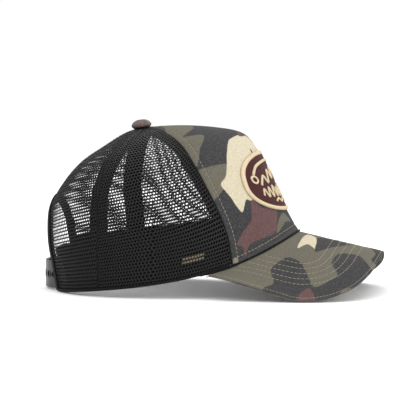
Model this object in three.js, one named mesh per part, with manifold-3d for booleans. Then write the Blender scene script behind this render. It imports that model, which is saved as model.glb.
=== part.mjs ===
// Trucker mesh cap, millimetres. +X is the bill, +Y the wearer's left, +Z up.
// Sizes are written about the crown; the finished assembly is shifted to stand on its own base.
import * as THREE from 'three';
import { mergeVertices } from 'three/addons/utils/BufferGeometryUtils.js';
import Module from 'manifold-3d';

const wasm = await Module();
wasm.setup();

// ---- driving dimensions -------------------------------------------------------------------

const HEM_FRONT = 100;             // crown hem, half lengths about the crown's middle
const HEM_BACK = 96;
const HEM_SIDE = 77;
const BACK_FULLNESS = 0.85;        // below 1 squares off the back of the hem
const APEX = new THREE.Vector3(-24.5, 0, 129.5);
const FRONT_HEM_HEIGHT = 48;       // the hem is flat at the back and climbs to this at the bill
const FLAT_HEM_END = -84;
const CROWN_TOP = 0.975;           // panels stop here, around the button's rivet
const PROFILE_SOFTNESS = 0.15;

const SEAM_GAP = 0.4;              // half the gap between two panels
const FRONT_PANEL_THICK = 1.3;
const BUCKRAM_DEPTH = [1.65, 2.65];
const MESH_THICK = 1.0;
const TAPE_WIDTH = 13;
const FRONT_TAPE_DEPTH = [3.15, 3.65];
const REAR_TAPE_DEPTH = [1.7, 2.3];
const SWEATBAND_DEPTH = [4.3, 5.6];
const SWEATBAND_HEIGHT = 38;
const TAG_DEPTH = [2.4, 2.9];

const ARCH_HALF_WIDTH = 33;        // rear opening: straight sides, then a half round
const ARCH_STRAIGHT = 36;
const BINDING_OUT = [0.55, 1.2];   // the bindings fold over the mesh's edge
const BINDING_IN = [-2.2, -1.55];
const BINDING_WEB = 0.7;
const BINDING_LEG = 7;
const MESH_INSET = 1.05;           // the mesh's edge lies this far inside the fold

const BRIM_HALF_ANGLE = 67;        // where the bill's corners meet the hem, degrees from the front
const BRIM_LAYERS = { under: [0, 0.5], board: [0.8, 2.2], top: [2.5, 3.0] };
const BRIM_DROP = 0.8;             // bill's upper face below the hem
const BRIM_TUCK = 3;               // how far the bill runs in under the hem
const PIPING_RADIUS = 0.7;

const BUTTON_RADIUS = 8;
const BUTTON_HEIGHT = 6;
const BUTTON_TILT = 8;             // degrees, leaning back
const RIVET_RADIUS = 1.5;
const RIVET_HEAD = 5.5;

const STRAP_BACK = -102.8;         // rearmost point of the inner strap's middle
const STRAP_HINGE_Y = 31.5;
const STRAP_MIDDLE_Z = 12.3;
const STRAP_HEIGHT = 21.5;
const STRAP_THICK = 1.2;
const STRAP_STEP = 1.55;           // the outer strap lies this far outside the inner one
const STRAP_DEPTH = 3.2;           // strap root, inside the crown's outer face
const STRAP_PAST_MIDDLE = 12;
const STRAP_ROOT_GAP = 0.35;       // between a strap and its sewn tongue
const STRAP_CORNER = 7;
const PEG_PITCH = 7.5;
const PEG_RADIUS = 1.9;
const PEG_STEM = 0.7;
const HOLE_RADIUS = 2.6;
const PEG_COUNT = 6;
const TONGUE_Y = [35.2, 48];
const TONGUE_Z = [3.5, 21.5];

const PATCH_HALF_WIDTH = 40.5;     // seen from the front
const PATCH_HALF_HEIGHT = 22.5;
const PATCH_MIDDLE_Z = 88;
const PATCH_RISE = [0.55, 1.3];
const PATCH_BORDER = 3.8;
const MOTIF_RISE = [1.65, 2.25];

const SLICES = 14;                 // steps up the crown, shared by every layer

// Meridian profiles of the crown: share of the hem's reach, share of the height above the hem.
const profile = (points) => new THREE.SplineCurve(points.map(([r, z]) => new THREE.Vector2(r, z)));
const FRONT_PROFILE = profile([
  [1, 0], [0.935, 0.17], [0.868, 0.37], [0.8, 0.59], [0.728, 0.8], [0.64, 0.945], [0.47, 1],
  [0.24, 1.02], [0, 1],
]);
const SIDE_PROFILE = profile([
  [1, 0], [1, 0.17], [0.975, 0.34], [0.925, 0.5], [0.835, 0.655], [0.7, 0.785], [0.51, 0.89],
  [0.26, 0.965], [0, 1],
]);
const BACK_PROFILE = profile([
  [1, 0], [1.05, 0.15], [1.1, 0.33], [1.05, 0.51], [0.9, 0.66], [0.7, 0.785], [0.45, 0.88],
  [0.2, 0.965], [0, 1],
]);

// Rim of the bill's underside, from the tip to the wearer's left corner.
const RIM_HALF = [
  [168, 0, 29.5], [166.6, 22, 26], [162.6, 45, 18.2], [151.6, 64.5, 8.8], [133, 77, 1.8],
  [112, 82.5, 0.15], [91, 84, 5.5], [69, 83.5, 11.8], [51, 81.5, 16], [40.5, 73, 17],
];

// ---- crown surface ------------------------------------------------------------------------

const rad = THREE.MathUtils.degToRad;
const smooth = (x) => THREE.MathUtils.smoothstep(x, 0, 1);
const clampUnit = (x) => THREE.MathUtils.clamp(x, 0, 1);

function hemPoint(phi) {
  const c = Math.cos(phi);
  const x = c > 0 ? HEM_FRONT * c : -HEM_BACK * (-c) ** BACK_FULLNESS;
  const s = Math.max(0, (x - FLAT_HEM_END) / (HEM_FRONT - FLAT_HEM_END));
  const z = FRONT_HEM_HEIGHT * (0.42 * s + 0.58 * s ** 4);
  return new THREE.Vector3(x, HEM_SIDE * Math.sin(phi), z);
}

function profileWeight(c) {
  const e = PROFILE_SOFTNESS;
  return (Math.sqrt(c * c + e * e) - e) / (Math.sqrt(1 + e * e) - e);
}

// phi runs round the head from the front, t from the hem (0) to the apex (1).
function crownPoint(phi, t) {
  const hem = hemPoint(phi);
  const c = Math.cos(phi);
  const w = profileWeight(c);
  const side = SIDE_PROFILE.getPoint(clampUnit(t));
  const end = (c > 0 ? FRONT_PROFILE : BACK_PROFILE).getPoint(clampUnit(t));
  const p = side.lerp(end, w);
  return new THREE.Vector3(
    APEX.x + p.x * (hem.x - APEX.x),
    p.x * hem.y,
    hem.z + p.y * (APEX.z - hem.z),
  );
}

function crownNormal(phi, t) {
  const d = 1e-3;
  const t0 = Math.max(0, t - d);
  const up = crownPoint(phi, t0 + 2 * d).sub(crownPoint(phi, t0));
  const round = crownPoint(phi + d, t).sub(crownPoint(phi - d, t));
  return round.cross(up).normalize();
}

function crown(phi, t, out = 0) {
  return crownPoint(phi, t).addScaledVector(crownNormal(phi, t), out);
}

function bisect(low, high, isBelow) {
  for (let i = 0; i < 34; i += 1) {
    const middle = (low + high) / 2;
    if (isBelow(middle)) low = middle;
    else high = middle;
  }
  return (low + high) / 2;
}

const tAtHeight = (phi, height) => {
  const z = hemPoint(phi).z + height;
  return bisect(0, 0.8, (t) => crownPoint(phi, t).z < z);
};

// Place on the front (side 1) or back (side -1) of the crown that shows at a given y and z.
function placeAt(side, y, z) {
  const phiAt = (t) => bisect(0, Math.PI / 2, (a) => crownPoint(a, t).y < Math.abs(y));
  const phiBack = (t) => Math.PI - bisect(0, Math.PI / 2,
    (a) => crownPoint(Math.PI - a, t).y < Math.abs(y));
  const find = side > 0 ? phiAt : phiBack;
  const t = bisect(0, 0.9, (value) => crownPoint(find(value), value).z < z);
  return [find(t) * Math.sign(y || 1), t];
}

const crownAt = (side, y, z, out) => {
  const [phi, t] = placeAt(side, y, z);
  return crown(phi, t, out);
};

const reach = (phi, t) => {
  const p = crownPoint(phi, t);
  return Math.max(1, Math.hypot(p.x - APEX.x, p.y));
};

// Seams, in degrees from the front.
const frontSeam = (t) => rad(55 + 12 * smooth((t - 0.1) / 0.55));
const sideSeam = (t) => rad(115.3 + 2.7 * smooth((t - 0.25) / 0.25));

// ---- solids -------------------------------------------------------------------------------

// A closed body between two grids of points; both are functions of u and v from 0 to 1.
function gridShell(outer, inner, stepsU, stepsV) {
  const points = [];
  const faces = [];
  const wide = stepsV + 1;
  for (const surface of [outer, inner]) {
    for (let i = 0; i <= stepsU; i += 1) {
      for (let j = 0; j <= stepsV; j += 1) points.push(surface(i / stepsU, j / stepsV));
    }
  }
  const under = (stepsU + 1) * wide;
  const quad = (a, b, c, d) => faces.push(a, b, c, a, c, d);
  for (let i = 0; i < stepsU; i += 1) {
    for (let j = 0; j < stepsV; j += 1) {
      const a = i * wide + j;
      quad(a, a + wide, a + wide + 1, a + 1);
      quad(under + a, under + a + 1, under + a + wide + 1, under + a + wide);
    }
  }
  for (let i = 0; i < stepsU; i += 1) {
    const a = i * wide;
    const b = a + stepsV;
    quad(a, under + a, under + a + wide, a + wide);
    quad(b, b + wide, under + b + wide, under + b);
  }
  for (let j = 0; j < stepsV; j += 1) {
    const b = stepsU * wide + j;
    quad(j, j + 1, under + j + 1, under + j);
    quad(b, under + b, under + b + 1, b + 1);
  }
  return solid(points, faces);
}

// A closed body swept through rings of points; open ends are closed by flat caps.
function loft(rings, isLoop = false) {
  const n = rings[0].length;
  const points = rings.flat();
  const faces = [];
  const last = isLoop ? rings.length : rings.length - 1;
  for (let i = 0; i < last; i += 1) {
    const a = i * n;
    const b = ((i + 1) % rings.length) * n;
    for (let j = 0; j < n; j += 1) {
      const k = (j + 1) % n;
      faces.push(a + j, a + k, b + k, a + j, b + k, b + j);
    }
  }
  if (!isLoop) {
    const cap = capFaces(rings[0]);
    const start = (rings.length - 1) * n;
    for (let i = 0; i < cap.length; i += 3) {
      faces.push(cap[i], cap[i + 2], cap[i + 1]);
      faces.push(start + cap[i], start + cap[i + 1], start + cap[i + 2]);
    }
  }
  return solid(points, faces);
}

function capFaces(ring) {
  const normal = new THREE.Vector3();
  ring.forEach((p, i) => normal.add(p.clone().cross(ring[(i + 1) % ring.length])));
  normal.normalize();
  const across = ring[1].clone().sub(ring[0]).normalize();
  const along = normal.clone().cross(across);
  const flat = ring.map((p) => new THREE.Vector2(p.dot(across), p.dot(along)));
  return THREE.ShapeUtils.triangulateShape(flat, []).flat();
}

function solid(points, faces) {
  let volume = 0;
  for (let i = 0; i < faces.length; i += 3) {
    const [a, b, c] = [points[faces[i]], points[faces[i + 1]], points[faces[i + 2]]];
    volume += a.dot(b.clone().cross(c));
  }
  if (volume < 0) faces.reverse();
  const geometry = new THREE.BufferGeometry();
  const flat = points.flatMap((p) => [p.x, p.y, p.z]);
  geometry.setAttribute('position', new THREE.Float32BufferAttribute(flat, 3));
  geometry.setIndex(faces);
  return geometry;
}

function toManifold(geometry) {
  const bare = geometry.clone();
  bare.deleteAttribute('normal');
  bare.deleteAttribute('uv');
  const merged = mergeVertices(bare, 1e-4);
  return new wasm.Manifold(new wasm.Mesh({
    numProp: 3,
    vertProperties: new Float32Array(merged.attributes.position.array),
    triVerts: new Uint32Array(merged.index.array),
  }));
}

function fromManifold(manifold) {
  const mesh = manifold.getMesh();
  const geometry = new THREE.BufferGeometry();
  geometry.setAttribute('position', new THREE.BufferAttribute(new Float32Array(mesh.vertProperties), 3));
  geometry.setIndex(new THREE.BufferAttribute(new Uint32Array(mesh.triVerts), 1));
  return geometry;
}

// ---- materials ----------------------------------------------------------------------------

function finish(color, roughness, metalness = 0) {
  return new THREE.MeshStandardMaterial({ color, roughness, metalness });
}
const camoCloth = finish(0x5c5b55, 0.9);
const blackMesh = finish(0x1d1d1f, 0.7);
const blackCloth = finish(0x18181a, 0.9);
const liner = finish(0xd8d6cf, 0.9);
const boardPlastic = finish(0xc9c9c4, 0.6);
const strapPlastic = finish(0x26262a, 0.4);
const patchCloth = finish(0x4b2828, 0.85);
const creamThread = finish(0xdfc8a3, 0.7);
const rivetMetal = finish(0x9a9a98, 0.35, 1);

const cap = new THREE.Group();

function add(name, geometry, material) {
  const mesh = new THREE.Mesh(geometry, material);
  mesh.name = name;
  cap.add(mesh);
  return mesh;
}

// ---- crown panels -------------------------------------------------------------------------

// Between two seams, each moved inward by a margin in millimetres. A lining uses whole steps of
// the panel that it lies behind, skip steps in from each edge, so that the two stay parallel.
function panel({ from, to, margin, start, end, depth, steps, skip = 0 }) {
  const [near, far] = depth;
  const phiAt = (u, t) => {
    const a = from(t);
    const b = to(t);
    const low = a + margin / reach(a, t);
    const high = b - margin / reach(b, t);
    return THREE.MathUtils.lerp(low, high, u);
  };
  const inside = (x, count) => THREE.MathUtils.lerp(skip / count, 1 - skip / count, x);
  const surface = (out) => (u, v) => {
    const row = inside(v, SLICES);
    const phi = phiAt(inside(u, steps), end * row);
    return crown(phi, THREE.MathUtils.lerp(start(phi), end, row), out);
  };
  return gridShell(surface(-near), surface(-far), steps - 2 * skip, SLICES - 2 * skip);
}

function archCutter(inset) {
  const w = ARCH_HALF_WIDTH + inset;
  const outline = new THREE.Shape();
  outline.moveTo(-w, -20);
  outline.lineTo(-w, ARCH_STRAIGHT);
  outline.absarc(0, ARCH_STRAIGHT, w, Math.PI, 0, true);
  outline.lineTo(w, -20);
  outline.closePath();
  const prism = new THREE.ExtrudeGeometry(outline, { depth: 100, bevelEnabled: false, curveSegments: 24 });
  const upright = new THREE.Matrix4().makeBasis(
    new THREE.Vector3(0, 1, 0),
    new THREE.Vector3(0, 0, 1),
    new THREE.Vector3(1, 0, 0),
  );
  prism.applyMatrix4(upright.setPosition(-140, 0, 0));
  return prism;
}

const hemStart = () => 0;
const meshStart = (phi) => tAtHeight(phi, MESH_INSET);

add('front_panel', panel({
  from: (t) => -frontSeam(t),
  to: frontSeam,
  margin: SEAM_GAP,
  start: hemStart,
  end: CROWN_TOP,
  depth: [0, FRONT_PANEL_THICK],
  steps: 20,
}), camoCloth);

add('front_buckram', panel({
  from: (t) => -frontSeam(t),
  to: frontSeam,
  margin: SEAM_GAP,
  start: hemStart,
  end: CROWN_TOP,
  depth: BUCKRAM_DEPTH,
  steps: 20,
  skip: 1,
}), liner);

for (const [hand, name] of [[1, 'left'], [-1, 'right']]) {
  const between = (a, b) => (hand > 0 ? { from: a, to: b } : { from: (t) => -b(t), to: (t) => -a(t) });
  add(`side_mesh_${name}`, panel({
    ...between(frontSeam, sideSeam),
    margin: SEAM_GAP,
    start: meshStart,
    end: CROWN_TOP,
    depth: [0, MESH_THICK],
    steps: 9,
  }), blackMesh);

  const rear = panel({
    ...between(sideSeam, () => Math.PI),
    margin: SEAM_GAP,
    start: meshStart,
    end: CROWN_TOP,
    depth: [0, MESH_THICK],
    steps: 10,
  });
  const opened = toManifold(rear).subtract(toManifold(archCutter(MESH_INSET)));
  add(`back_mesh_${name}`, fromManifold(opened), blackMesh);
}

// ---- seam tapes ---------------------------------------------------------------------------

function tape(centre, depth, tStart, tEnd) {
  const surface = (out) => (u, v) => {
    const t = THREE.MathUtils.lerp(tStart, tEnd, v);
    const middle = centre(t);
    const r = reach(middle, t);
    const half = Math.min(TAPE_WIDTH / 2, 0.38 * r) / r;
    return crown(middle + (2 * u - 1) * half, t, out);
  };
  return gridShell(surface(-depth[0]), surface(-depth[1]), 2, SLICES);
}

const TAPE_TOP = 0.93;
const tapeStart = (phi) => tAtHeight(phi, BINDING_LEG + 2);
for (const [hand, name] of [[1, 'left'], [-1, 'right']]) {
  const front = (t) => hand * frontSeam(t);
  const side = (t) => hand * sideSeam(t);
  add(`seam_tape_front_${name}`, tape(front, FRONT_TAPE_DEPTH, tapeStart(front(0)), TAPE_TOP), blackCloth);
  add(`seam_tape_side_${name}`, tape(side, REAR_TAPE_DEPTH, tapeStart(side(0)), TAPE_TOP), blackCloth);
}
const archTop = ARCH_STRAIGHT + ARCH_HALF_WIDTH;
const backTapeStart = placeAt(-1, 0.01, archTop + BINDING_LEG + 2)[1];
add('seam_tape_back', tape(() => Math.PI, REAR_TAPE_DEPTH, backTapeStart, TAPE_TOP), blackCloth);

// ---- sweatband, bindings and tag ----------------------------------------------------------

const sweatbandEnd = (t) => Math.PI - bisect(0, 1,
  (a) => crownPoint(Math.PI - a, t).y < ARCH_HALF_WIDTH + 2);

function sweatband() {
  const surface = (out) => (u, v) => {
    const height = THREE.MathUtils.lerp(0.8, SWEATBAND_HEIGHT, v);
    const limit = sweatbandEnd(tAtHeight(Math.PI, height));
    const phi = THREE.MathUtils.lerp(-limit, limit, u);
    return crown(phi, tAtHeight(phi, height), out);
  };
  return gridShell(surface(-SWEATBAND_DEPTH[0]), surface(-SWEATBAND_DEPTH[1]), 44, 3);
}
add('sweatband', sweatband(), blackCloth);

// The folded section: across is along the crown's normal, deep runs away from the free edge.
const foldSection = (leg) => [
  [BINDING_IN[0], 0], [BINDING_OUT[1], 0], [BINDING_OUT[1], leg], [BINDING_OUT[0], leg],
  [BINDING_OUT[0], BINDING_WEB], [BINDING_IN[1], BINDING_WEB], [BINDING_IN[1], leg], [BINDING_IN[0], leg],
];

function hemBinding(hand) {
  const first = rad(BRIM_HALF_ANGLE + 2);
  const last = Math.PI - bisect(0, 1, (a) => crownPoint(Math.PI - a, 0).y < ARCH_HALF_WIDTH);
  const rings = [];
  const steps = 22;
  for (let i = 0; i <= steps; i += 1) {
    const phi = THREE.MathUtils.lerp(first, last, i / steps);
    rings.push(foldSection(BINDING_LEG).map(([across, deep]) => {
      const t = tAtHeight(phi, deep);
      const level = crownNormal(phi, t).setZ(0).normalize();
      const p = crownPoint(phi, t).addScaledVector(level, across);
      p.z = hemPoint(phi).z + deep;
      p.y *= hand;
      return p;
    }));
  }
  return loft(rings);
}
add('hem_binding_left', hemBinding(1), blackCloth);
add('hem_binding_right', hemBinding(-1), blackCloth);

function archBinding() {
  const low = BINDING_LEG + 0.5;
  const straightSteps = 5;
  const roundSteps = 24;
  const path = [];
  for (let i = 0; i < straightSteps; i += 1) {
    const z = THREE.MathUtils.lerp(low, ARCH_STRAIGHT, i / straightSteps);
    path.push({ y: -ARCH_HALF_WIDTH, z, outY: -1, outZ: 0 });
  }
  for (let i = 0; i <= roundSteps; i += 1) {
    const a = Math.PI * (1 - i / roundSteps);
    path.push({
      y: ARCH_HALF_WIDTH * Math.cos(a),
      z: ARCH_STRAIGHT + ARCH_HALF_WIDTH * Math.sin(a),
      outY: Math.cos(a),
      outZ: Math.sin(a),
    });
  }
  for (let i = straightSteps - 1; i >= 0; i -= 1) {
    path.push({ ...path[i], y: ARCH_HALF_WIDTH, outY: 1 });
  }
  return loft(path.map(({ y, z, outY, outZ }) => foldSection(BINDING_LEG - 1).map(
    ([across, deep]) => crownAt(-1, y + outY * deep, z + outZ * deep, across),
  )));
}
add('arch_binding', archBinding(), blackCloth);

function wovenTag() {
  const middle = rad(-72.7);
  const half = 7 / HEM_SIDE;
  const surface = (out) => (u, v) => {
    const phi = middle + (2 * u - 1) * half;
    return crown(phi, tAtHeight(phi, THREE.MathUtils.lerp(11, 20, v)), out);
  };
  return gridShell(surface(-TAG_DEPTH[0]), surface(-TAG_DEPTH[1]), 3, 1);
}
add('woven_tag', wovenTag(), creamThread);

// ---- bill ---------------------------------------------------------------------------------

const mirroredRim = RIM_HALF.slice(1).reverse().map(([x, y, z]) => [x, -y, z]);
const RIM = new THREE.CatmullRomCurve3(
  [...mirroredRim, ...RIM_HALF].map((p) => new THREE.Vector3(...p)),
  false,
  'catmullrom',
  0.5,
);
const BRIM_THICK = BRIM_LAYERS.top[1];

// u runs from corner to corner (-1 to 1), v from the hem (0) to the rim (1).
function brimBase(u, v) {
  const phi = rad(BRIM_HALF_ANGLE * u);
  const root = hemPoint(phi);
  root.z -= BRIM_DROP + BRIM_THICK * brimTaper(u);
  if (v < 0) {
    const inward = crownNormal(phi, 0).setZ(0).normalize();
    return root.addScaledVector(inward, v * BRIM_TUCK);
  }
  return root.lerp(RIM.getPoint((u + 1) / 2), v);
}

// The bill thins towards its two corners.
const brimTaper = (u) => 1 - 0.4 * smooth((Math.abs(u) - 0.85) / 0.15);

function brimNormal(u, v) {
  if (v <= 0) return new THREE.Vector3(0, 0, 1);
  const d = 1e-3;
  const a = Math.min(u, 1 - d);
  const across = brimBase(a + d, v).sub(brimBase(Math.max(-1, a - d), v));
  const along = brimBase(u, v).sub(brimBase(u, v - d));
  return along.cross(across).normalize();
}

function brimPoint(u, v, rise) {
  return brimBase(u, v).addScaledVector(brimNormal(u, v), rise * brimTaper(u));
}

// The board stops short of the covers: skip steps at each corner, and a margin at hem and rim.
const BRIM_STEPS = 44;
const BRIM_ROWS = [-1, 0.02, 0.35, 0.7, 1];
function brimLayer([low, high], skip, rowsAt) {
  const limit = 1 - (2 * skip) / BRIM_STEPS;
  const place = (rise) => (a, b) => {
    const u = THREE.MathUtils.lerp(-limit, limit, a);
    const rows = rowsAt(u);
    return brimPoint(u, rows[Math.round(b * (rows.length - 1))], rise);
  };
  return gridShell(place(high), place(low), BRIM_STEPS - 2 * skip, rowsAt(0).length - 1);
}

const boardRows = (u) => {
  const length = RIM.getPoint((u + 1) / 2).distanceTo(hemPoint(rad(BRIM_HALF_ANGLE * u)));
  return [1.2 / length, BRIM_ROWS[2], BRIM_ROWS[3], 1 - 1.5 / length];
};
add('brim_board', brimLayer(BRIM_LAYERS.board, 2, boardRows), boardPlastic);
add('brim_top_cover', brimLayer(BRIM_LAYERS.top, 0, () => BRIM_ROWS), camoCloth);
add('brim_under_cover', brimLayer(BRIM_LAYERS.under, 0, () => BRIM_ROWS), camoCloth);

function piping() {
  const steps = 40;
  const sides = 6;
  const limit = rad(BRIM_HALF_ANGLE - 2);
  const rings = [];
  for (let i = 0; i <= steps; i += 1) {
    const phi = THREE.MathUtils.lerp(-limit, limit, i / steps);
    const level = crownNormal(phi, 0).setZ(0).normalize();
    const centre = hemPoint(phi).addScaledVector(level, 1.15);
    centre.z += 0.6;
    rings.push(Array.from({ length: sides }, (_, k) => {
      const a = (k / sides) * 2 * Math.PI;
      const p = centre.clone().addScaledVector(level, PIPING_RADIUS * Math.cos(a));
      p.z += PIPING_RADIUS * Math.sin(a);
      return p;
    }));
  }
  return loft(rings);
}
add('brim_piping', piping(), blackCloth);

// ---- button -------------------------------------------------------------------------------

const lathe = (points, segments) => {
  const shape = new THREE.LatheGeometry(points.map(([r, z]) => new THREE.Vector2(r, z)), segments);
  return fromManifold(toManifold(shape.rotateX(Math.PI / 2)));
};

function onApex(geometry, lift) {
  const lean = new THREE.Matrix4().makeRotationY(-rad(BUTTON_TILT));
  lean.setPosition(APEX.x, 0, APEX.z + lift);
  return geometry.applyMatrix4(lean);
}

const dome = [[0, 0], [BUTTON_RADIUS - 1.2, 0], [BUTTON_RADIUS, 1.4]];
for (let i = 1; i <= 6; i += 1) {
  const a = (i / 6) * (Math.PI / 2);
  const top = BUTTON_HEIGHT - 1.4;
  dome.push([BUTTON_RADIUS * Math.cos(a) ** 0.8, 1.4 + top * Math.sin(a) ** 1.2]);
}
dome[dome.length - 1][0] = 0;
add('button_cover', onApex(lathe(dome, 28), 1.2), camoCloth);

add('button_rivet', onApex(lathe([
  [0, -6.4], [RIVET_HEAD - 1, -6.4], [RIVET_HEAD, -5.8], [RIVET_HEAD, -5.5], [RIVET_RADIUS, -5.2],
  [RIVET_RADIUS, 0.85], [0, 0.85],
], 20), 0), rivetMetal);

// ---- patch on the front panel -------------------------------------------------------------

// A square grid pressed into an ellipse keeps one even mesh right across the patch.
const patchSpot = (a, b, shrink) => [
  (PATCH_HALF_WIDTH - shrink) * a * Math.sqrt(1 - b * b / 2),
  PATCH_MIDDLE_Z + (PATCH_HALF_HEIGHT - shrink) * b * Math.sqrt(1 - a * a / 2),
];

function patchBase() {
  const surface = (out) => (u, v) => {
    const [y, z] = patchSpot(2 * u - 1, 2 * v - 1, PATCH_BORDER + 0.4);
    return crownAt(1, y, z, out);
  };
  return gridShell(surface(PATCH_RISE[1]), surface(PATCH_RISE[0]), 12, 8);
}
add('patch_base', patchBase(), patchCloth);

function patchBorder() {
  const steps = 44;
  const section = [[0, 0.6], [1, 0.6], [1, 1.5], [0.72, 2.1], [0.28, 2.1], [0, 1.5]];
  const rings = [];
  for (let i = 0; i < steps; i += 1) {
    const a = (i / steps) * 2 * Math.PI;
    rings.push(section.map(([share, out]) => {
      const shrink = PATCH_BORDER * (1 - share);
      const y = (PATCH_HALF_WIDTH - shrink) * Math.cos(a);
      const z = PATCH_MIDDLE_Z + (PATCH_HALF_HEIGHT - shrink) * Math.sin(a);
      return crownAt(1, y, z, out);
    }));
  }
  return loft(rings, true);
}
add('patch_border', patchBorder(), creamThread);

// A raised embroidered line through points given in the patch's own plane.
function embroideredLine(points, width) {
  const path = new THREE.CatmullRomCurve3(
    points.map(([y, z]) => new THREE.Vector3(y, z, 0)),
    false,
    'catmullrom',
    0.5,
  );
  const steps = points.length * 4;
  const surface = (out) => (u, v) => {
    const p = path.getPoint(u);
    const along = path.getTangent(u);
    const offset = (2 * v - 1) * width / 2;
    const y = p.x - along.y * offset;
    const z = PATCH_MIDDLE_Z + p.y + along.x * offset;
    return crownAt(1, y, z, out);
  };
  return gridShell(surface(MOTIF_RISE[1]), surface(MOTIF_RISE[0]), steps, 1);
}
add('motif_peaks', embroideredLine([
  [-25, -4], [-17, 3], [-12, -1], [-2, 9], [7, -1], [13, 4], [24, -4],
], 2.2), creamThread);
add('motif_wave', embroideredLine([
  [-18, -10], [-12, -8.4], [-6, -10.4], [0, -8.4], [6, -10.4], [12, -8.4], [18, -10],
], 1.6), creamThread);

// ---- snap straps --------------------------------------------------------------------------

const rootPoint = (y) => crownAt(-1, y, STRAP_MIDDLE_Z, -STRAP_DEPTH);
const hinge = rootPoint(bisect(STRAP_HINGE_Y, STRAP_HINGE_Y + 5, (y) => rootPoint(y).y < STRAP_HINGE_Y));
const sag = hinge.x - STRAP_BACK;
const strapRadius = (STRAP_HINGE_Y ** 2 + sag ** 2) / (2 * sag);
const strapCentreX = STRAP_BACK + strapRadius;
const hingeAngle = Math.asin(STRAP_HINGE_Y / strapRadius);

// Place on a strap: angle from the middle of the back, height, and distance out from its middle.
function strapPoint(angle, z, out, step) {
  const fade = smooth((hingeAngle - Math.abs(angle)) / (hingeAngle * 0.55));
  const r = strapRadius + step * fade + out;
  return new THREE.Vector3(strapCentreX - r * Math.cos(angle), r * Math.sin(angle), z);
}

// hand is the side of the root; the strap runs from there past the middle of the back.
function strapBand(hand, step) {
  const root = hingeAngle - STRAP_ROOT_GAP / strapRadius;
  const tip = -STRAP_PAST_MIDDLE / strapRadius;
  const surface = (out) => (u, v) => {
    const angle = THREE.MathUtils.lerp(root, tip, u);
    const toTip = Math.max(0, STRAP_CORNER - (angle - tip) * strapRadius);
    const trim = STRAP_CORNER - Math.sqrt(STRAP_CORNER ** 2 - toTip ** 2 * 0.96);
    const half = STRAP_HEIGHT / 2 - trim;
    return strapPoint(angle * hand, STRAP_MIDDLE_Z + (2 * v - 1) * half, out, step);
  };
  return gridShell(surface(STRAP_THICK / 2), surface(-STRAP_THICK / 2), 28, 2);
}

// Turns a shape standing along +Z to point straight out of the strap.
function outOfStrap(geometry, angle, out) {
  const p = strapPoint(angle, STRAP_MIDDLE_Z, out, 0);
  const turn = new THREE.Matrix4().makeRotationZ(Math.PI - angle);
  turn.multiply(new THREE.Matrix4().makeRotationY(Math.PI / 2));
  return geometry.applyMatrix4(turn.setPosition(p));
}

function pegShape() {
  const points = [[0, -0.6], [PEG_RADIUS, -0.6], [PEG_RADIUS, PEG_STEM]];
  for (let i = 1; i <= 4; i += 1) {
    const a = (i / 4) * (Math.PI / 2);
    points.push([i < 4 ? PEG_RADIUS * Math.cos(a) : 0, PEG_STEM + PEG_RADIUS * Math.sin(a)]);
  }
  return lathe(points, 16);
}

const pegAngle = (k) => ((k - 1) * PEG_PITCH) / strapRadius;

function pegStrap() {
  let body = toManifold(strapBand(1, 0));
  for (let k = 0; k < PEG_COUNT; k += 1) {
    body = body.add(toManifold(outOfStrap(pegShape(), pegAngle(k), STRAP_THICK / 2)));
  }
  return fromManifold(body);
}

function holeStrap() {
  let body = toManifold(strapBand(-1, STRAP_STEP));
  for (let k = 0; k < PEG_COUNT; k += 1) {
    const drill = lathe([[0, -6], [HOLE_RADIUS, -6], [HOLE_RADIUS, 6], [0, 6]], 20);
    body = body.subtract(toManifold(outOfStrap(drill, -pegAngle(k), STRAP_STEP)));
  }
  return fromManifold(body);
}
add('peg_strap', pegStrap(), strapPlastic);
add('hole_strap', holeStrap(), strapPlastic);

// The sewn root of each strap, between the mesh and the sweatband.
function strapTongue(hand) {
  const surface = (out) => (u, v) => {
    const y = THREE.MathUtils.lerp(TONGUE_Y[0], TONGUE_Y[1], u);
    const z = THREE.MathUtils.lerp(TONGUE_Z[0], TONGUE_Z[1], v);
    const p = crownAt(-1, y, z, out);
    p.y *= hand;
    return p;
  };
  const near = -(STRAP_DEPTH - STRAP_THICK / 2);
  return gridShell(surface(near), surface(near - STRAP_THICK), 5, 4);
}
add('strap_tongue_left', strapTongue(1), strapPlastic);
add('strap_tongue_right', strapTongue(-1), strapPlastic);

// ---- stand the cap on its base, its length centred on the origin ---------------------------

const box = new THREE.Box3().setFromObject(cap);
const middle = box.getCenter(new THREE.Vector3());
cap.position.set(-middle.x, 0, -box.min.z);
cap.updateMatrixWorld(true);

export default cap;
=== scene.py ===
# Trucker mesh cap: camo front and bill, honeycomb mesh back, oval patch, snap strap.
# Sizes inside the script are millimetres about the crown; toFrame() puts them in the frame.
import math

import bmesh
import bpy
import numpy as np
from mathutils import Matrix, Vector


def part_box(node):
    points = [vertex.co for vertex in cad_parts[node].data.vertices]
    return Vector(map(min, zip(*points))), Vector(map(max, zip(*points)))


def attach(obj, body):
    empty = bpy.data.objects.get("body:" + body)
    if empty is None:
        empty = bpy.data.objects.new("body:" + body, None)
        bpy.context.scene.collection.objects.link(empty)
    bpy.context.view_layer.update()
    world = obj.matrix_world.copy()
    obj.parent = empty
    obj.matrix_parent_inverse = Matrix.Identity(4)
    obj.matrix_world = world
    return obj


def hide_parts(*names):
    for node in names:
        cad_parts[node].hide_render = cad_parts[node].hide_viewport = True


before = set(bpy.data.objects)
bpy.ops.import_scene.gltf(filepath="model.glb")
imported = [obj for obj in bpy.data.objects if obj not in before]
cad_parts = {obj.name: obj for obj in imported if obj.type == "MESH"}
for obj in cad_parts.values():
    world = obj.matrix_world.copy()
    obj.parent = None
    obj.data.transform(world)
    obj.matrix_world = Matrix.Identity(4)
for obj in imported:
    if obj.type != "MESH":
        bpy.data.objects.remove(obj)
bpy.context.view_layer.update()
print("frame loaded:", len(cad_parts), "parts")

mm = 0.001


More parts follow.
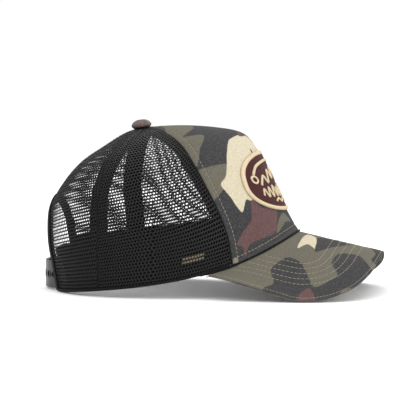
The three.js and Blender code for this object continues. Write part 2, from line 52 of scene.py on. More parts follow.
crownShape = {
    "hemFront": 100.0, "hemBack": 96.0, "hemSide": 77.0, "backFullness": 0.85,
    "apexX": -24.5, "apexZ": 129.5,
    "frontHemHeight": 48.0, "flatHemEnd": -84.0,
    "profileSoftness": 0.15,
    "crownTop": 0.975,
    "meshInset": 1.05,
    "archHalfWidth": 33.0, "archStraight": 36.0,
    "rearX": -60.0,         # only what lies behind this can meet the arch
    # share of the hem's reach, share of the height above the hem
    "front": [(1, 0), (0.935, 0.17), (0.868, 0.37), (0.8, 0.59), (0.728, 0.8), (0.64, 0.945),
              (0.47, 1), (0.24, 1.02), (0, 1)],
    "side": [(1, 0), (1, 0.17), (0.975, 0.34), (0.925, 0.5), (0.835, 0.655), (0.7, 0.785),
             (0.51, 0.89), (0.26, 0.965), (0, 1)],
    "back": [(1, 0), (1.05, 0.15), (1.1, 0.33), (1.05, 0.51), (0.9, 0.66), (0.7, 0.785),
             (0.45, 0.88), (0.2, 0.965), (0, 1)],
}

billShape = {
    "halfAngle": 67.0, "drop": 0.8, "tuck": 3.0, "thick": 3.0, "taper": 0.4,
    # rim of the underside, from the tip to the left corner
    "rim": [(168, 0, 29.5), (166.6, 22, 26), (162.6, 45, 18.2), (151.6, 64.5, 8.8), (133, 77, 1.8),
            (112, 82.5, 0.15), (91, 84, 5.5), (69, 83.5, 11.8), (51, 81.5, 16), (40.5, 73, 17)],
}

# The crown's foremost hem point fixes where the crown's own zero lies in the frame.
frameShift = np.array([
    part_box("front_panel")[1].x / mm - crownShape["hemFront"],
    0.0,
    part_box("hem_binding_left")[0].z / mm,
])


def toFrame(points):
    return (np.asarray(points, float) + frameShift) * mm


def smooth(x):
    x = np.clip(x, 0, 1)
    return x * x * (3 - 2 * x)


def lerp(a, b, x):
    return a + (b - a) * x


def unit(v):
    return v / np.maximum(np.linalg.norm(v, axis=-1, keepdims=True), 1e-9)


# The curve from p1 to p2 that leaves along v0 and arrives along v1.
def hermite(p1, p2, v0, v1, w):
    return (2 * p1 - 2 * p2 + v0 + v1) * w ** 3 + (3 * p2 - 3 * p1 - 2 * v0 - v1) * w ** 2 + v0 * w + p1


def spline(points, t):
    points = np.asarray(points, float)
    t = np.asarray(t, float)
    last = len(points) - 1
    place = np.clip(t, 0, 1) * last
    i = np.minimum(place.astype(int), last - 1)
    w = (place - i)[..., None]
    p0 = points[np.maximum(i - 1, 0)]
    p1 = points[i]
    p2 = points[i + 1]
    p3 = points[np.minimum(i + 2, last)]
    v0 = (p2 - p0) / 2
    v1 = (p3 - p1) / 2
    return hermite(p1, p2, v0, v1, w)


def hemPoint(phi):
    s = crownShape
    c = np.cos(phi)
    x = np.where(c > 0, s["hemFront"] * c, -s["hemBack"] * np.abs(c) ** s["backFullness"])
    rise = np.maximum(0, (x - s["flatHemEnd"]) / (s["hemFront"] - s["flatHemEnd"]))
    z = s["frontHemHeight"] * (0.42 * rise + 0.58 * rise ** 4)
    return np.stack([x, s["hemSide"] * np.sin(phi), z], -1)


def crownPoint(phi, t):
    phi, t = np.broadcast_arrays(np.asarray(phi, float), np.asarray(t, float))
    s = crownShape
    hem = hemPoint(phi)
    c = np.cos(phi)
    e = s["profileSoftness"]
    w = ((np.sqrt(c * c + e * e) - e) / (math.sqrt(1 + e * e) - e))[..., None]
    t = np.clip(t, 0, 1)
    end = np.where((c > 0)[..., None], spline(s["front"], t), spline(s["back"], t))
    p = lerp(spline(s["side"], t), end, w)
    return np.stack([
        s["apexX"] + p[..., 0] * (hem[..., 0] - s["apexX"]),
        p[..., 0] * hem[..., 1],
        hem[..., 2] + p[..., 1] * (s["apexZ"] - hem[..., 2]),
    ], -1)


def crownNormal(phi, t):
    d = 1e-3
    t0 = np.maximum(0, np.asarray(t, float) - d)
    up = crownPoint(phi, t0 + 2 * d) - crownPoint(phi, t0)
    around = crownPoint(phi + d, t) - crownPoint(phi - d, t)
    return unit(np.cross(around, up))


def crown(phi, t, out=0.0):
    out = np.asarray(out, float)
    return crownPoint(phi, t) + crownNormal(phi, t) * out[..., None]


def reach(phi, t):
    p = crownPoint(phi, t)
    return np.maximum(1, np.hypot(p[..., 0] - crownShape["apexX"], p[..., 1]))


def frontSeam(t):
    return np.radians(55 + 12 * smooth((np.asarray(t, float) - 0.1) / 0.55))


def sideSeam(t):
    return np.radians(115.3 + 2.7 * smooth((np.asarray(t, float) - 0.25) / 0.25))


def backSeam(t):
    return np.full(np.shape(t), math.pi)


def tAtHeight(phi, height):
    phi = np.asarray(phi, float)
    target = hemPoint(phi)[..., 2] + height
    low = np.zeros(np.broadcast(phi, target).shape)
    high = low + 0.8
    for _ in range(30):
        middle = (low + high) / 2
        below = crownPoint(phi, middle)[..., 2] < target
        low = np.where(below, middle, low)
        high = np.where(below, high, middle)
    return (low + high) / 2


# The change in phi and t that moves point p of the crown by gapY across and gapZ up.
def crownStep(phi, t, p, gapY, gapZ, least):
    d = 1e-4
    byPhi = (crownPoint(phi + d, t) - p) / d
    byT = (crownPoint(phi, t + d) - p) / d
    det = byPhi[..., 1] * byT[..., 2] - byT[..., 1] * byPhi[..., 2]
    det = np.where(np.abs(det) < least, least, det)
    stepPhi = (gapY * byT[..., 2] - byT[..., 1] * gapZ) / det
    stepT = (byPhi[..., 1] * gapZ - gapY * byPhi[..., 2]) / det
    return stepPhi, stepT


# Place (phi, t) on the front (side 1) or back (side -1) of the crown that shows at y and z.
def placeAt(side, y, z):
    y, z = np.broadcast_arrays(np.asarray(y, float), np.asarray(z, float))
    start = 0.3 if side > 0 else math.pi - 0.3
    phi = np.full(y.shape, start)
    t = np.full(y.shape, 0.3)
    for _ in range(14):
        p = crownPoint(phi, t)
        stepPhi, stepT = crownStep(phi, t, p, np.abs(y) - p[..., 1], z - p[..., 2], 1e-6)
        phi = phi + np.clip(stepPhi, -0.3, 0.3)
        t = np.clip(t + np.clip(stepT, -0.2, 0.2), 0, 0.97)
    return phi * np.where(y < 0, -1, 1), t


def crownAt(side, y, z, out=0.0):
    phi, t = placeAt(side, y, z)
    return crown(phi, t, out)


rimPoints = [(x, -y, z) for x, y, z in billShape["rim"][:0:-1]] + billShape["rim"]


def billTaper(u):
    return 1 - billShape["taper"] * smooth((np.abs(u) - 0.85) / 0.15)


def billBase(u, v):
    u, v = np.broadcast_arrays(np.asarray(u, float), np.asarray(v, float))
    phi = np.radians(billShape["halfAngle"]) * u
    root = hemPoint(phi)
    root[..., 2] -= billShape["drop"] + billShape["thick"] * billTaper(u)
    inward = crownNormal(phi, np.zeros(phi.shape))
    inward[..., 2] = 0
    tucked = root + unit(inward) * (v * billShape["tuck"])[..., None]
    laid = lerp(root, spline(rimPoints, (u + 1) / 2), np.clip(v, 0, None)[..., None])
    return np.where((v < 0)[..., None], tucked, laid)


def billNormal(u, v):
    d = 1e-3
    inside = np.clip(v, d, 1)
    a = np.clip(u, -1 + d, 1 - d)
    across = billBase(a + d, inside) - billBase(a - d, inside)
    along = billBase(a, inside) - billBase(a, inside - d)
    n = unit(np.cross(along, across))
    up = np.zeros(n.shape)
    up[..., 2] = 1
    return np.where((np.asarray(v) <= 0)[..., None], up, n)


def bill(u, v, rise):
    u, v = np.broadcast_arrays(np.asarray(u, float), np.asarray(v, float))
    return billBase(u, v) + billNormal(u, v) * (np.asarray(rise, float) * billTaper(u))[..., None]


def makeObject(name, points, faces, material):
    mesh = bpy.data.meshes.new(name)
    mesh.from_pydata([tuple(p) for p in toFrame(points)], [], [tuple(f) for f in faces])
    mesh.validate()
    mesh.update()
    work = bmesh.new()
    work.from_mesh(mesh)
    bmesh.ops.recalc_face_normals(work, faces=work.faces)
    work.to_mesh(mesh)
    work.free()
    mesh.shade_smooth()
    piece = bpy.data.objects.new(name, mesh)
    bpy.context.scene.collection.objects.link(piece)
    mesh.materials.append(material)
    return piece


# A large mesh from arrays: points that meet are joined, and flat slivers go.
def meshFromArrays(name, points, faces, material):
    used, faces = np.unique(faces, return_inverse=True)
    mesh = bpy.data.meshes.new(name)
    mesh.from_pydata(toFrame(points[used]).tolist(), [], faces.reshape(-1, 4).tolist())
    work = bmesh.new()
    work.from_mesh(mesh)
    bmesh.ops.remove_doubles(work, verts=work.verts, dist=0.00002)
    bmesh.ops.dissolve_degenerate(work, edges=work.edges, dist=0.00001)
    bmesh.ops.recalc_face_normals(work, faces=work.faces)
    work.to_mesh(mesh)
    work.free()
    mesh.validate()
    mesh.shade_smooth()
    mesh.materials.append(material)
    piece = bpy.data.objects.new(name, mesh)
    bpy.context.scene.collection.objects.link(piece)
    return piece


def mirrored(points, hand):
    return points * np.array([1, hand, 1])


# The same values for both faces of a cloth sheet.
def both(values):
    return np.tile(values.ravel(), 2)


def setValue(piece, name, values):
    layer = piece.data.attributes.new(name, "FLOAT", "POINT")
    layer.data.foreach_set("value", np.asarray(values, np.float32).ravel())


def gridFaces(rows, columns, start=0, loopRows=False, loopColumns=False):
    faces = []
    for i in range(rows if loopRows else rows - 1):
        for j in range(columns if loopColumns else columns - 1):
            k = (i + 1) % rows
            m = (j + 1) % columns
            faces.append((start + i * columns + j, start + k * columns + j,
                          start + k * columns + m, start + i * columns + m))
    return faces


# A cloth panel with two faces and a closed edge, from two grids of the same size.
def clothSheet(name, outer, inner, material):
    rows, columns = outer.shape[:2]
    count = rows * columns
    points = np.concatenate([outer.reshape(-1, 3), inner.reshape(-1, 3)])
    faces = gridFaces(rows, columns) + [f[::-1] for f in gridFaces(rows, columns, count)]
    edge = list(range(columns))
    edge += [i * columns + columns - 1 for i in range(1, rows)]
    edge += [(rows - 1) * columns + j for j in range(columns - 2, -1, -1)]
    edge += [i * columns for i in range(rows - 2, 0, -1)]
    for a, b in zip(edge, edge[1:] + edge[:1]):
        faces.append((a, b, count + b, count + a))
    return makeObject(name, points, faces, material)


# A closed body swept through rings of points, rows x ring x 3.
def sweep(name, rings, material, loop=False):
    rows, count = rings.shape[:2]
    faces = gridFaces(rows, count, loopRows=loop, loopColumns=True)
    if not loop:
        faces += [tuple(range(count)), tuple((rows - 1) * count + k for k in range(count))]
    return makeObject(name, rings.reshape(-1, 3), faces, material)


# Thread stitches laid along a path: each a short capsule sunk a little at both ends.
def stitchPoints(path, normals, length, gap, width, lift=0.12):
    steps = np.linalg.norm(np.diff(path, axis=0), axis=1)
    run = np.concatenate([[0], np.cumsum(steps)])
    count = max(1, int(run[-1] / (length + gap)))
    pitch = run[-1] / count
    share = length / (length + gap)
    points, faces = [], []
    sides, rings = 6, 5
    for k in range(count):
        start = k * pitch
        place = start + pitch * share * np.linspace(0, 1, rings)
        centre = np.stack([np.interp(place, run, path[:, i]) for i in range(3)], -1)
        up = unit(np.stack([np.interp(place, run, normals[:, i]) for i in range(3)], -1))
        along = unit(np.gradient(centre, axis=0))
        across = np.cross(along, up)
        bow = np.sin(np.linspace(0.12, math.pi - 0.12, rings))
        for i in range(rings):
            half = width / 2 * (0.45 + 0.55 * bow[i])
            middle = centre[i] + up[i] * (lift * (bow[i] * 2 - 1))
            for s in range(sides):
                a = 2 * math.pi * s / sides
                points.append(middle + across[i] * half * math.cos(a) + up[i] * half * 0.8 * math.sin(a))
        base = k * sides * rings
        faces += gridFaces(rings, sides, base, loopColumns=True)
        faces.append(tuple(base + s for s in range(sides)))
        faces.append(tuple(base + (rings - 1) * sides + s for s in range(sides)))
    return points, faces


def stitches(name, rows, material, length=2.2, gap=0.7, width=0.55, lift=0.12):
    points, faces = [], []
    for path, normals in rows:
        p, f = stitchPoints(path, normals, length, gap, width, lift)
        faces += [tuple(k + len(points) for k in face) for face in f]
        points += p
    return makeObject(name, np.array(points), faces, material)


# Signed distance in the plane to a smooth closed outline, positive inside.
def insideDistance(x, y, outline):
    steps, tension = 4, 0.7
    outline = np.asarray(outline, float)
    closed = np.concatenate([outline[-1:], outline, outline[:2]])
    dense = []
    for i in range(1, len(closed) - 2):
        p0, p1, p2, p3 = closed[i - 1], closed[i], closed[i + 1], closed[i + 2]
        v0, v1 = (p2 - p0) / 2 * tension, (p3 - p1) / 2 * tension
        dense += [hermite(p1, p2, v0, v1, w) for w in np.arange(steps) / steps]
    dense = np.array(dense)
    nearest = np.full(x.shape, 1e9)
    inside = np.zeros(x.shape, bool)
    for a, b in zip(dense, np.roll(dense, -1, axis=0)):
        edge = b - a
        share = np.clip(((x - a[0]) * edge[0] + (y - a[1]) * edge[1]) / max(edge @ edge, 1e-9), 0, 1)
        nearest = np.minimum(nearest, np.hypot(x - a[0] - share * edge[0], y - a[1] - share * edge[1]))
        crosses = (a[1] > y) != (b[1] > y)
        at = a[0] + (y - a[1]) * edge[0] / (edge[1] if abs(edge[1]) > 1e-9 else 1e-9)
        inside ^= crosses & (x < at)
    return np.where(inside, nearest, -nearest)


def srgb(r, g, b):
    def linear(v):
        v /= 255
        return v / 12.92 if v <= 0.04045 else ((v + 0.055) / 1.055) ** 2.4
    return (linear(r), linear(g), linear(b), 1.0)


class Nodes:
    def __init__(self, name):
        self.material = bpy.data.materials.new(name)
        self.material.use_nodes = True
        self.tree = self.material.node_tree
        self.shader = self.tree.nodes["Principled BSDF"]

    def add(self, kind, **settings):
        node = self.tree.nodes.new(kind)
        for key, value in settings.items():
            setattr(node, key, value)
        return node

    def link(self, source, target):
        self.tree.links.new(source, target)

    def math(self, operation, a, b=None):
        node = self.add("ShaderNodeMath", operation=operation)
        for socket, value in zip(node.inputs, (a, b)):
            if value is None:
                continue
            if isinstance(value, (int, float)):
                socket.default_value = value
            else:
                self.link(value, socket)
        return node.outputs[0]

    def coordinates(self, scale):
        place = self.add("ShaderNodeTexCoord").outputs["Object"]
        mapping = self.add("ShaderNodeMapping")
        mapping.inputs["Scale"].default_value = (scale, scale, scale)
        self.link(place, mapping.inputs["Vector"])
        return mapping.outputs["Vector"]

    def noise(self, scale, detail=3.0, roughness=0.55):
        node = self.add("ShaderNodeTexNoise")
        node.inputs["Scale"].default_value = 1.0
        node.inputs["Detail"].default_value = detail
        node.inputs["Roughness"].default_value = roughness
        self.link(self.coordinates(scale), node.inputs["Vector"])
        return node.outputs["Fac"]

    def ramp(self, value, low, high):
        node = self.add("ShaderNodeMapRange", clamp=True)
        node.inputs["From Min"].default_value = low
        node.inputs["From Max"].default_value = high
        self.link(value, node.inputs["Value"])
        return node.outputs["Result"]

    def mix(self, factor, a, b, blend="MIX"):
        node = self.add("ShaderNodeMix", data_type="RGBA", blend_type=blend)
        for socket, value in ((node.inputs[0], factor), (node.inputs[6], a), (node.inputs[7], b)):
            if isinstance(value, (int, float, tuple)):
                socket.default_value = value
            else:
                self.link(value, socket)
        return node.outputs[2]

    def attribute(self, name):
        node = self.add("ShaderNodeAttribute", attribute_name=name)
        return node.outputs["Fac"]

    # Diagonal twill or plain weave from two sets of fine bands along the cloth's own directions.
    def weave(self, pitch, diagonal=True):
        along = self.attribute("clothAlong")
        up = self.attribute("clothUp")
        turn = 2 * math.pi / pitch
        if diagonal:
            first = self.math("SINE", self.math("MULTIPLY", self.math("ADD", along, up), turn))
            second = self.math("SINE", self.math("MULTIPLY", along, turn * 1.9))
        else:
            first = self.math("SINE", self.math("MULTIPLY", along, turn))
            second = self.math("SINE", self.math("MULTIPLY", up, turn))
        return self.math("MULTIPLY", self.math("ADD", first, self.math("MULTIPLY", second, 0.6)), 0.31)

    def bump(self, height, strength, distance):
        node = self.add("ShaderNodeBump")
        node.inputs["Strength"].default_value = strength
        node.inputs["Distance"].default_value = distance
        self.link(height, node.inputs["Height"])
        self.link(node.outputs["Normal"], self.shader.inputs["Normal"])

    def finish(self, color, roughness, **sockets):
        if isinstance(color, tuple):
            self.shader.inputs["Base Color"].default_value = color
        else:
            self.link(color, self.shader.inputs["Base Color"])
        if isinstance(roughness, (int, float)):
            self.shader.inputs["Roughness"].default_value = roughness
        else:
            self.link(roughness, self.shader.inputs["Roughness"])
        for key, value in sockets.items():
            self.shader.inputs[key.replace("_", " ")].default_value = value
        return self.material


camoColors = {
    "charcoal": srgb(45, 45, 47),
    "olive": srgb(94, 90, 77),
    "cream": srgb(197, 187, 162),
    "maroon": srgb(90, 62, 62),
    "edgeNoise": 0.5,
    "twillPitch": 0.75,
    "fade": 0.07,
}


camoLayers = {"olive": "camoOlive", "cream": "camoCream", "maroon": "camoMaroon", "charcoal": "camoDark"}


# Camo printed on cotton twill: each colour shows where its distance value is above zero.
def camoMaterial(name, settings):
    n = Nodes(name)
    wobble = n.math("MULTIPLY", n.math("SUBTRACT", n.noise(900, 2), 0.5), settings["edgeNoise"] * 2)
    color = settings["charcoal"]
    for shade, value in camoLayers.items():
        edge = n.ramp(n.math("ADD", n.attribute(value), wobble), -0.22, 0.22)
        color = n.mix(edge, color, settings[shade])
    # yarns take the dye unevenly, and the cloth has faded in soft clouds
    yarn = n.ramp(n.noise(1900, 2, 0.7), 0.3, 0.7)
    color = n.mix(n.math("MULTIPLY", yarn, 0.05), color, (0.3, 0.29, 0.28, 1))
    speck = n.ramp(n.noise(780, 2, 0.8), 0.45, 0.68)
    color = n.mix(n.math("MULTIPLY", speck, 0.1), color, (0.34, 0.33, 0.33, 1))
    dark = n.ramp(n.noise(900, 3, 0.8), 0.4, 0.7)
    color = n.mix(n.math("MULTIPLY", dark, 0.34), color, (0.0, 0.0, 0.0, 1))
    fade = n.ramp(n.noise(28, 3), 0.35, 0.75)
    color = n.mix(n.math("MULTIPLY", fade, settings["fade"]), color, (0.12, 0.115, 0.11, 1), "SCREEN")
    worn = n.math("MULTIPLY", n.attribute("wear"), n.ramp(n.noise(260, 3), 0.35, 0.65))
    color = n.mix(n.math("MULTIPLY", worn, 0.22), color, (0.3, 0.29, 0.26, 1))
    twill = n.weave(settings["twillPitch"])
    fibre = n.math("MULTIPLY", n.noise(2600, 2), 0.5)
    n.bump(n.math("ADD", twill, fibre), 0.4, 0.00018)
    rough = n.ramp(n.noise(300, 2), -0.6, 1.2)
    return n.finish(color, n.math("ADD", n.math("MULTIPLY", rough, 0.12), 0.82),
                    Sheen_Weight=0.04, Sheen_Roughness=0.5, Specular_IOR_Level=0.08)


# Plain cloths and tapes: a weave, uneven yarn colour, painted shade in the low places of the weave and a
# little sheen.
def clothMaterial(name, color, pitch, roughness=0.85, diagonal=False, sheen=0.2, mottle=0.25, depth=0.0002):
    n = Nodes(name)
    weave = n.weave(pitch, diagonal)
    yarn = n.ramp(n.noise(1600, 3, 0.7), 0.3, 0.7)
    lighter = tuple(min(1, c * 1.5 + 0.01) for c in color[:3]) + (1,)
    darker = tuple(c * 0.55 for c in color[:3]) + (1,)
    tone = n.mix(n.math("MULTIPLY", yarn, mottle), color, lighter)
    tone = n.mix(n.math("MULTIPLY", n.ramp(n.noise(60, 3), 0.3, 0.8), mottle), tone, darker)
    # painted shade: the low places of the weave are darkened, the crests are left as they are
    weaveCrest = n.ramp(weave, -0.5, 0.1)
    tone = n.mix(n.math("MULTIPLY", n.math("SUBTRACT", 1.0, weaveCrest), 0.35), tone, darker)
    n.bump(weave, 0.6, depth)
    rough = n.math("ADD", n.math("MULTIPLY", n.noise(400, 2), 0.15), roughness - 0.1)
    return n.finish(tone, rough, Sheen_Weight=sheen, Sheen_Roughness=0.45, Specular_IOR_Level=0.12)


# Spun or filament thread: twist lines, uneven tone and a little sheen.
def threadMaterial(name, color, roughness=0.55, sheen=0.3, twist=1500, gloss=0.16):
    n = Nodes(name)
    strand = n.noise(twist, 2, 0.6)
    darker = tuple(c * 0.6 for c in color[:3]) + (1,)
    tone = n.mix(n.math("MULTIPLY", n.ramp(strand, 0.35, 0.7), 0.5), color, darker)
    tone = n.mix(n.math("MULTIPLY", n.ramp(n.noise(120, 2), 0.4, 0.8), 0.25), tone, darker)
    n.bump(strand, 0.35, 0.00015)
    return n.finish(tone, roughness, Sheen_Weight=sheen, Sheen_Roughness=0.4, Specular_IOR_Level=gloss)


# Moulded plastic: fine orange peel, soft scuffs and slightly uneven gloss.
def plasticMaterial(name, color, roughness=0.38, grain=0.15):
    n = Nodes(name)
    peel = n.noise(1100, 2)
    scuff = n.ramp(n.noise(180, 4, 0.7), 0.55, 0.75)
    lighter = tuple(min(1, c * 1.8 + 0.02) for c in color[:3]) + (1,)
    tone = n.mix(n.math("MULTIPLY", scuff, 0.25), color, lighter)
    rough = n.math("ADD", n.math("MULTIPLY", scuff, 0.2), roughness)
    n.bump(peel, grain, 0.0001)
    return n.finish(tone, rough, Specular_IOR_Level=0.5)


def metalMaterial(name, color, roughness=0.3):
    n = Nodes(name)
    brushed = n.noise(700, 4, 0.7)
    tone = n.mix(n.math("MULTIPLY", n.ramp(brushed, 0.4, 0.8), 0.35), color, (0.2, 0.19, 0.18, 1))
    n.bump(brushed, 0.1, 0.0001)
    return n.finish(tone, n.math("ADD", n.math("MULTIPLY", brushed, 0.2), roughness - 0.1), Metallic=1.0)


camoCloth = camoMaterial("camoTwill", camoColors)
blackMesh = threadMaterial("blackMeshYarn", srgb(20, 20, 21), 0.42, 0.02, 1800, 0.2)
# painted highlight: the wales are the mesh's own black yarn, given a lighter colour for the light their
# ridges catch
highlightedWaleThread = threadMaterial("waleYarnPaintedHighlight", srgb(34, 34, 36), 0.35, 0.03, 1800, 0.35)
blackTape = clothMaterial("blackTape", srgb(15, 15, 16), 0.9, 0.85, sheen=0.02)
blackTwill = clothMaterial("blackTwill", srgb(13, 13, 14), 0.8, 0.88, diagonal=True, sheen=0.02)
blackThread = threadMaterial("blackThread", srgb(20, 20, 22), 0.5, 0.03)
liner = clothMaterial("liner", srgb(216, 214, 207), 0.6, 0.9, mottle=0.12)
creamThread = threadMaterial("creamThread", srgb(202, 184, 152), 0.6, 0.1)
seamThread = threadMaterial("seamThread", srgb(150, 145, 126), 0.65, 0.05)
tagCloth = clothMaterial("tagCloth", srgb(172, 158, 128), 0.5, 0.8, sheen=0.05, mottle=0.15)
patchCloth = clothMaterial("patchTwill", srgb(62, 31, 30), 0.7, 0.85, diagonal=True, sheen=0.05, mottle=0.3)
strapPlastic = plasticMaterial("strapPlastic", srgb(26, 26, 28), 0.35)
boardPlastic = plasticMaterial("boardPlastic", srgb(200, 200, 195), 0.6)
rivetMetal = metalMaterial("rivetMetal", srgb(165, 165, 162))
print("materials made")


camera = {
    "azimuth": 10.0, "elevation": 4.0, "distance": 1700.0,
    "aim": (27.6, 0.0, 65.0), "millimetresAcross": 332.8,
}


def placeCamera(c):
    a, e = math.radians(c["azimuth"]), math.radians(c["elevation"])
    back = np.array([math.sin(a) * math.cos(e), -math.cos(a) * math.cos(e), math.sin(e)])
    data = bpy.data.cameras.new("camera")
    data.sensor_width = 36.0
    data.lens = 36.0 * c["distance"] / c["millimetresAcross"]
    data.clip_end = 20.0
    eye = bpy.data.objects.new("camera", data)
    spot = toFrame(np.array(c["aim"]) + back * c["distance"])
    eye.location = Vector(spot)
    eye.rotation_euler = Vector(back).to_track_quat("Z", "Y").to_euler()
    bpy.context.scene.collection.objects.link(eye)
    bpy.context.scene.camera = eye


studio = {
    "floorColor": (0.97, 0.97, 0.975, 1), "worldColor": (1.0, 1.0, 1.0, 1), "worldStrength": 1.02,
    "key": {"place": (1.3, -0.9, 0.3), "size": 1.4, "watts": 13.0},
    "top": {"place": (0.1, 0.0, 1.7), "size": 2.6, "watts": 21.0},
    "rear": {"place": (-0.8, 0.9, 0.8), "size": 1.0, "watts": 3.0},
}


def makeStudio(s):
    floor = bpy.data.meshes.new("floor")
    half = 4.0
    corners = [(-half, -half, 0), (half, -half, 0), (half, half, 0), (-half, half, 0)]
    floor.from_pydata(corners, [], [(0, 1, 2, 3)])
    plane = bpy.data.objects.new("floor", floor)
    plane.location.z = -0.0003
    bpy.context.scene.collection.objects.link(plane)
    n = Nodes("floorPaper")
    n.finish(s["floorColor"], 0.8, Specular_IOR_Level=0.1)
    floor.materials.append(n.material)
    world = bpy.data.worlds.new("softRoom")
    bpy.context.scene.world = world
    world.use_nodes = True
    background = world.node_tree.nodes["Background"]
    background.inputs["Color"].default_value = s["worldColor"]
    background.inputs["Strength"].default_value = s["worldStrength"]
    for name in ("key", "top", "rear"):
        light = bpy.data.lights.new(name, "AREA")
        light.shape = "DISK"
        light.size = s[name]["size"]
        light.energy = s[name]["watts"]
        lamp = bpy.data.objects.new(name, light)
        lamp.location = s[name]["place"]
        lamp.rotation_euler = Vector(s[name]["place"]).to_track_quat("Z", "Y").to_euler()
        bpy.context.scene.collection.objects.link(lamp)


placeCamera(camera)
makeStudio(studio)
bpy.context.scene.view_settings.view_transform = "Standard"
print("camera and studio placed")


# Crown blobs: degrees round from the front (minus is the wearer's right), percent of the way up.
crownCamo = {
    "olive": [
        [(-30, 92), (-16, 83), (-50, 77), (-68, 73), (-70, 80), (-55, 88)],
        [(-70, 74), (-57, 74), (-43, 71), (-57, 62), (-65, 52), (-70, 64)],
        [(-68, 50), (-56, 50), (-44, 48), (-44, 42), (-51, 38), (-63, 33), (-67, 42)],
        [(-9, 14), (-4, 8), (-13, 9), (-25, 6), (-18, 12)],
        [(10, 12), (20, 4), (30, 2), (36, 12), (28, 18), (34, 28), (24, 32), (17, 22)],
        [(36, 50), (44, 38), (56, 40), (66, 36), (72, 50), (60, 54), (68, 64), (52, 66), (46, 58)],
        [(6, 94), (16, 82), (34, 86), (46, 80), (52, 88), (30, 92), (10, 99)],
        [(52, 2), (68, 2), (72, 16), (62, 14), (60, 26), (50, 16)],
    ],
    "cream": [
        [(-30, 61), (-14, 62), (-3, 60), (4, 54), (0, 44), (-20, 36), (-33, 27), (-39, 29),
         (-44, 24), (-49, 33), (-53, 40), (-48, 43), (-42, 52), (-36, 58)],
        [(26, 40), (36, 42), (42, 34), (54, 30), (52, 22), (42, 25), (34, 31)],
        [(14, 68), (24, 72), (34, 68), (38, 78), (28, 78), (20, 84), (12, 78)],
    ],
    "maroon": [
        [(-35, 28), (-27, 21), (-15, 19), (-20, 12), (-26, 7), (-40, 8), (-45, 7), (-48, 2),
         (-48, 8), (-51, 10), (-46, 15), (-39, 19)],
        [(-3, 66), (-16, 61), (-5, 60)],
        [(2, 30), (12, 36), (16, 46), (26, 52), (20, 62), (10, 58), (8, 50), (-2, 42)],
        [(38, 12), (48, 10), (52, 18), (60, 30), (50, 34), (46, 24), (38, 22)],
        [(44, 72), (54, 74), (64, 70), (72, 80), (58, 80), (50, 86)],
    ],
    "charcoal": [
        [(-15, 51), (-13, 49), (-16, 48)],
        [(27, 60), (32, 56), (34, 62)],
        [(58, 46), (64, 43), (63, 49)],
    ],
}

# Bill blobs in the plan: forward, and across to the wearer's left.
billCamo = {
    "olive": [],
    "cream": [
        [(108, -4), (115, -8), (118, -30), (111, -25), (104, -34), (105, -20)],
        [(122, 34), (132, 36), (138, 28), (148, 34), (144, 44), (150, 52), (138, 54), (130, 46)],
    ],
    "maroon": [
        [(108, -96), (110, -79), (118, -70), (125, -79), (127, -96)],
        [(102, 14), (114, 4), (115, -2), (106, 0)],
        [(92, 56), (102, 60), (112, 54), (116, 66), (106, 70), (104, 82), (92, 76)],
    ],
    "charcoal": [
        [(117, -6), (130, -2), (143, -5), (129, -22), (118, -34), (117, -20)],
        [(98, -46), (110, -50), (122, -70), (138, -56), (132, -44), (136, -29), (151, -25),
         (163, -42), (175, -50), (160, -75), (130, -95), (95, -95), (84, -84), (91, -74),
         (87, -60)],
        [(156, 4), (163, -14), (161, -28), (168, -34), (180, -20), (178, 30), (170, 40), (168, 20)],
        [(98, 28), (108, 32), (116, 24), (124, 30), (118, 40), (122, 52), (108, 50), (104, 40)],
        [(76, 66), (88, 72), (92, 86), (74, 96), (60, 84)],
        [(130, 66), (142, 64), (150, 56), (154, 66), (142, 76), (132, 88), (124, 78)],
    ],
    # places where the charcoal leaves what lies under it
    "gaps": [
        [(140, -78), (144, -69), (152, -66), (152, -76)],
        [(110, -92), (111, -79), (118, -71), (124, -79), (125, -92)],
    ],
}


def camoValues(piece, x, y, shapes, base=None):
    for shade, name in camoLayers.items():
        value = np.full(x.shape, -9.0)
        if base == shade:
            value[:] = 9.0
        for outline in shapes[shade]:
            value = np.maximum(value, insideDistance(x, y, outline))
        if shade == "charcoal":
            for outline in shapes.get("gaps", []):
                value = np.minimum(value, -insideDistance(x, y, outline))
        setValue(piece, name, value)


# Cloth directions in millimetres, for the weave, and how much the edges have worn.
def clothDirections(piece, along, up, wear=None):
    setValue(piece, "clothAlong", along)
    setValue(piece, "clothUp", up)
    setValue(piece, "wear", np.zeros(np.shape(along)) if wear is None else wear)


degreeWidth = 1.25      # millimetres that one degree is worth when blobs are drawn
clothScale = {"around": 80.0, "up": 150.0}      # millimetres of weave to a radian, and from hem to top


def crownCamoValues(piece, phi, t):
    x = np.degrees(phi) * degreeWidth
    y = t * 100
    shapes = {shade: [[(a * degreeWidth, h) for a, h in outline] for outline in outlines]
              for shade, outlines in crownCamo.items()}
    camoValues(piece, x, y, shapes)


frontPanel = {
    "thick": 1.2, "across": 210, "up": 120, "seamGap": 0.3,
    "seamRoll": 0.9,       # how far the cloth turns down into the seam
    "stitchInset": 6.0, "hemStitch": 4.6,
}


def frontPhi(share, t, inset):
    half = frontSeam(t) - inset / reach(frontSeam(t), t)
    return lerp(-half, half, share)


